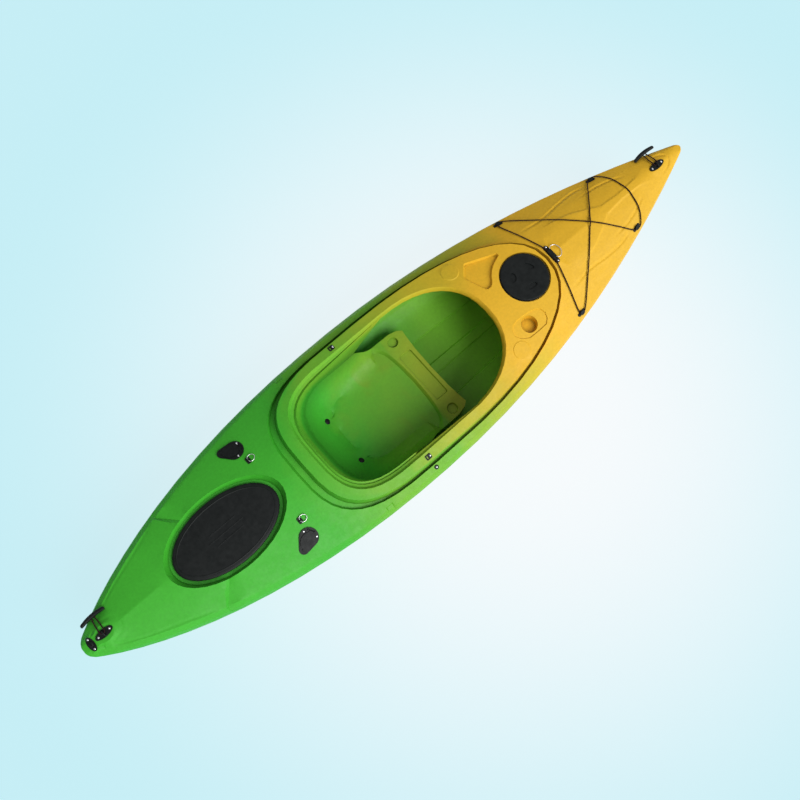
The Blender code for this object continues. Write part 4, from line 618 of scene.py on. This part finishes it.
def pressedDepth(spot, lines, depthOfLine, shoulder):
    # How deep the nearest pressed line is at a place, with a low shoulder on both sides
    width = hullShape["lineWidth"]
    here = Vector((spot.x, abs(spot.y), 0))
    depth = 0.0
    for line, goesOn in lines:
        best, place = 1.0, 0.0
        for k in range(len(line) - 1):
            share = geometry.intersect_point_line(here, line[k], line[k + 1])[1]
            share = min(1.0, max(0.0, share))
            gone = (here - line[k].lerp(line[k + 1], share)).length
            if gone < best:
                best, place = gone, k + share
        if best > hullShape["lineReach"] * width:
            continue
        run = place / (len(line) - 1)
        length = sum((line[k + 1] - line[k]).length for k in range(len(line) - 1))
        ends = min(run, 1.0 if goesOn else 1 - run) * length / hullShape["fadeLength"]
        strength = min(1.0, ends)
        groove = math.exp(-(best / width) ** 2)
        groove -= shoulder * math.exp(-(best / width - hullShape["shoulderPlace"]) ** 2)
        depth += strength * groove * depthOfLine
    return depth


def onTop(face):
    # Faces of the deck and the tub, without the outer sides and the bottom
    top, side = hullShape["top"], hullShape["side"]
    slope, height = face.normal.z, face.calc_center_median().z
    outside = slope < side["slope"] and height < side["high"]
    return slope > top["slope"] and height > top["low"] and not outside


def lengthLimit(edge):
    spot = (edge.verts[0].co + edge.verts[1].co) / 2
    if inTub(spot):
        return hullShape["tubLength"]
    fine = spot.x > hullShape["bowStart"] or spot.x < hullShape["sternEnd"]
    return hullShape["fineLength" if fine else "broadLength"]


def inTub(spot):
    rear, front = hullShape["tubEnds"]
    return abs(spot.y) < hullShape["tubHalf"] and spot.z < hullShape["tubTop"] and rear < spot.x < front


def keptAngleAt(spot):
    return math.radians(hullShape["tubKeptAngle" if inTub(spot) else "keptAngle"])


def isFree(vert):
    # A corner with nothing but soft edges of the deck or the tub round it
    kept = keptAngleAt(vert.co)
    soft = all(len(edge.link_faces) == 2 and edge.calc_face_angle(0) < kept for edge in vert.link_edges)
    return soft and all(onTop(face) for face in vert.link_faces)


def refineTop(mesh):
    # Cuts the long edges of the deck and the tub until they're short, then rounds the facets
    for step in range(hullShape["cuttingRounds"]):
        mesh.normal_update()
        mesh.faces.index_update()
        top = {face.index for face in mesh.faces if onTop(face)}
        long = [edge for edge in mesh.edges if edge.calc_length() > lengthLimit(edge)
                and any(face.index in top for face in edge.link_faces)]
        if not long:
            break
        bmesh.ops.subdivide_edges(mesh, edges=long, cuts=1, use_grid_fill=True, use_single_edge=True)
        bmesh.ops.triangulate(mesh, faces=[face for face in mesh.faces if len(face.verts) > 3])
    mesh.normal_update()
    free = [vert for vert in mesh.verts if isFree(vert)]
    freeInTub = [vert for vert in free if inTub(vert.co)]
    for group, passes in ((free, hullShape["smoothing"]), (freeInTub, hullShape["tubSmoothing"])):
        for step in range(passes):
            bmesh.ops.smooth_vert(mesh, verts=group, factor=0.5,
                                  use_axis_x=True, use_axis_y=True, use_axis_z=True)


def nearEnd(x, end):
    if end == "bow":
        return x > hullShape["bowStart"] - hullShape["lineMargin"]
    return x < hullShape["sternEnd"] + hullShape["lineMargin"]


def pressLines(mesh):
    # The creases of the bow deck and the relief of the stern deck
    mesh.normal_update()
    deck = hullShape["deck"]
    for end in ("bow", "stern"):
        # A line that ends in the middle goes on at the other side and doesn't fade there
        lines = [(smoothLine(points), points[-1][1] == 0) for points in hullShape[end + "Lines"]]
        depth, shoulder = hullShape["lineDepth"][end], hullShape["shoulder"][end]
        for vert in mesh.verts:
            if nearEnd(vert.co.x, end) and vert.co.z > deck["low"] and vert.normal.z > deck["slope"]:
                vert.co.z -= pressedDepth(vert.co, lines, depth, shoulder)


def makeHull():
    mesh = weldedCopy("hull_shell")
    refineTop(mesh)
    pressLines(mesh)
    data = finishMesh(mesh, "moulded_hull")
    piece = addPiece("moulded_hull", data, "hull", "hull", "hull_shell")
    roundEdges(piece, edges["hull"])
    print("hull", len(data.polygons))


makeHull()
for node, slot in slotOf.items():
    if slot in ("black_fittings", "seal_rubber"):
        softEdged(node)
print("fittings")

# Cords, rings and screws

wires = {"levels": 2, "quadAngle": math.radians(50)}


def rounderWire(node):
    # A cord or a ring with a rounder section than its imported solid
    mesh = weldedCopy(node)
    bmesh.ops.join_triangles(mesh, faces=mesh.faces, angle_face_threshold=wires["quadAngle"],
                             angle_shape_threshold=wires["quadAngle"])
    data = finishMesh(mesh, node + "_round")
    piece = addPiece(node + "_round", data, cadNodes[node]["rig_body"], slotOf[node], node)
    rounding = piece.modifiers.new("rounding", "SUBSURF")
    rounding.levels = wires["levels"]
    rounding.render_levels = wires["levels"]


screwForm = {
    "profile": ((0, 0.0019), (0.0013, 0.00185), (0.0023, 0.0016), (0.0031, 0.00118), (0.0036, 0.0007),
                (0.0038, 0.0003), (0.0018, 0.0003)),
    "headHeight": 0.0019,
    "middleEdges": 8,
    "shank": 0.0018,
    "steps": 24,
    "recessReach": 0.0021,
    "recessHalf": 0.00042,
    "recessFloor": 0.0007,
    "recessTop": 0.004,
    "recessTaper": 0.55,
    "sharpAngle": math.radians(32),
    "turnBetween": 0.83,  # each screw's cross is turned on from the last one's
}
screwByLength = {}


def fromOperators(name, mesh):
    data = bpy.data.meshes.new(name)
    mesh.to_mesh(data)
    mesh.free()
    made = bpy.data.objects.new(name, data)
    bpy.context.scene.collection.objects.link(made)
    return made


def crossCutter():
    # Two crossed bars that narrow downwards
    mesh = bmesh.new()
    for turn in (0, math.pi / 2):
        arm = bmesh.ops.create_cube(mesh, size=1.0)["verts"]
        for vert in arm:
            low = vert.co.z < 0
            vert.co.x *= 2 * screwForm["recessReach"] * (screwForm["recessTaper"] if low else 1.0)
            vert.co.y *= 2 * screwForm["recessHalf"]
            vert.co.z = screwForm["recessFloor" if low else "recessTop"]
        bmesh.ops.rotate(mesh, verts=arm, matrix=Matrix.Rotation(turn, 3, "Z"))
    return fromOperators("cutter", mesh)


def screwData(length):
    # A pan head with a cross recess on a plain shank
    mesh = bmesh.new()
    profile = [*screwForm["profile"], (screwForm["shank"], -length), (0, -length)]
    verts = [mesh.verts.new((radius, 0, height)) for radius, height in profile]
    line = [mesh.edges.new((one, two)) for one, two in zip(verts, verts[1:])]
    bmesh.ops.spin(mesh, geom=verts + line, angle=math.tau, steps=screwForm["steps"], axis=(0, 0, 1),
                   cent=(0, 0, 0), use_merge=True)
    bmesh.ops.remove_doubles(mesh, verts=mesh.verts, dist=mergeDistance)
    bmesh.ops.recalc_face_normals(mesh, faces=mesh.faces)
    form = fromOperators("form", mesh)
    cutter = crossCutter()
    cut = form.modifiers.new("recess", "BOOLEAN")
    cut.operation = "DIFFERENCE"
    cut.object = cutter
    cut.use_self = True
    graph = bpy.context.evaluated_depsgraph_get()
    data = bpy.data.meshes.new_from_object(form.evaluated_get(graph))
    bpy.data.objects.remove(form)
    bpy.data.objects.remove(cutter)
    return data


def placedScrew(node, order):
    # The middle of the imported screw's head is its one corner with eight edges
    mesh = weldedCopy(node)
    places = [vert.co.copy() for vert in mesh.verts]
    edgesThere = screwForm["middleEdges"]
    top = next(vert.co.copy() for vert in mesh.verts if len(vert.link_edges) == edgesThere)
    mesh.free()
    way = (top - sum(places, Vector()) / len(places)).normalized()
    headHeight = screwForm["headHeight"]
    length = round(max((top - place).dot(way) for place in places) - headHeight, 4)
    if length not in screwByLength:
        screwByLength[length] = screwData(length)
    data = screwByLength[length].copy()
    lean = Vector((0, 0, 1)).rotation_difference(way).to_matrix()
    turn = lean @ Matrix.Rotation(order * screwForm["turnBetween"], 3, "Z")
    data.transform(Matrix.Translation(top - way * headHeight) @ turn.to_4x4())
    data.shade_smooth()
    data.set_sharp_from_angle(angle=screwForm["sharpAngle"])
    addPiece(node + "_cross", data, cadNodes[node]["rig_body"], slotOf[node], node)


for node, slot in slotOf.items():
    if slot == "cord" or node.endswith("ring") and slot == "steel":
        rounderWire(node)
screws = [node for node in slotOf if "screw" in node or node == "leash_stud"]
for order, node in enumerate(screws):
    placedScrew(node, order)
print("cords, rings and screws")
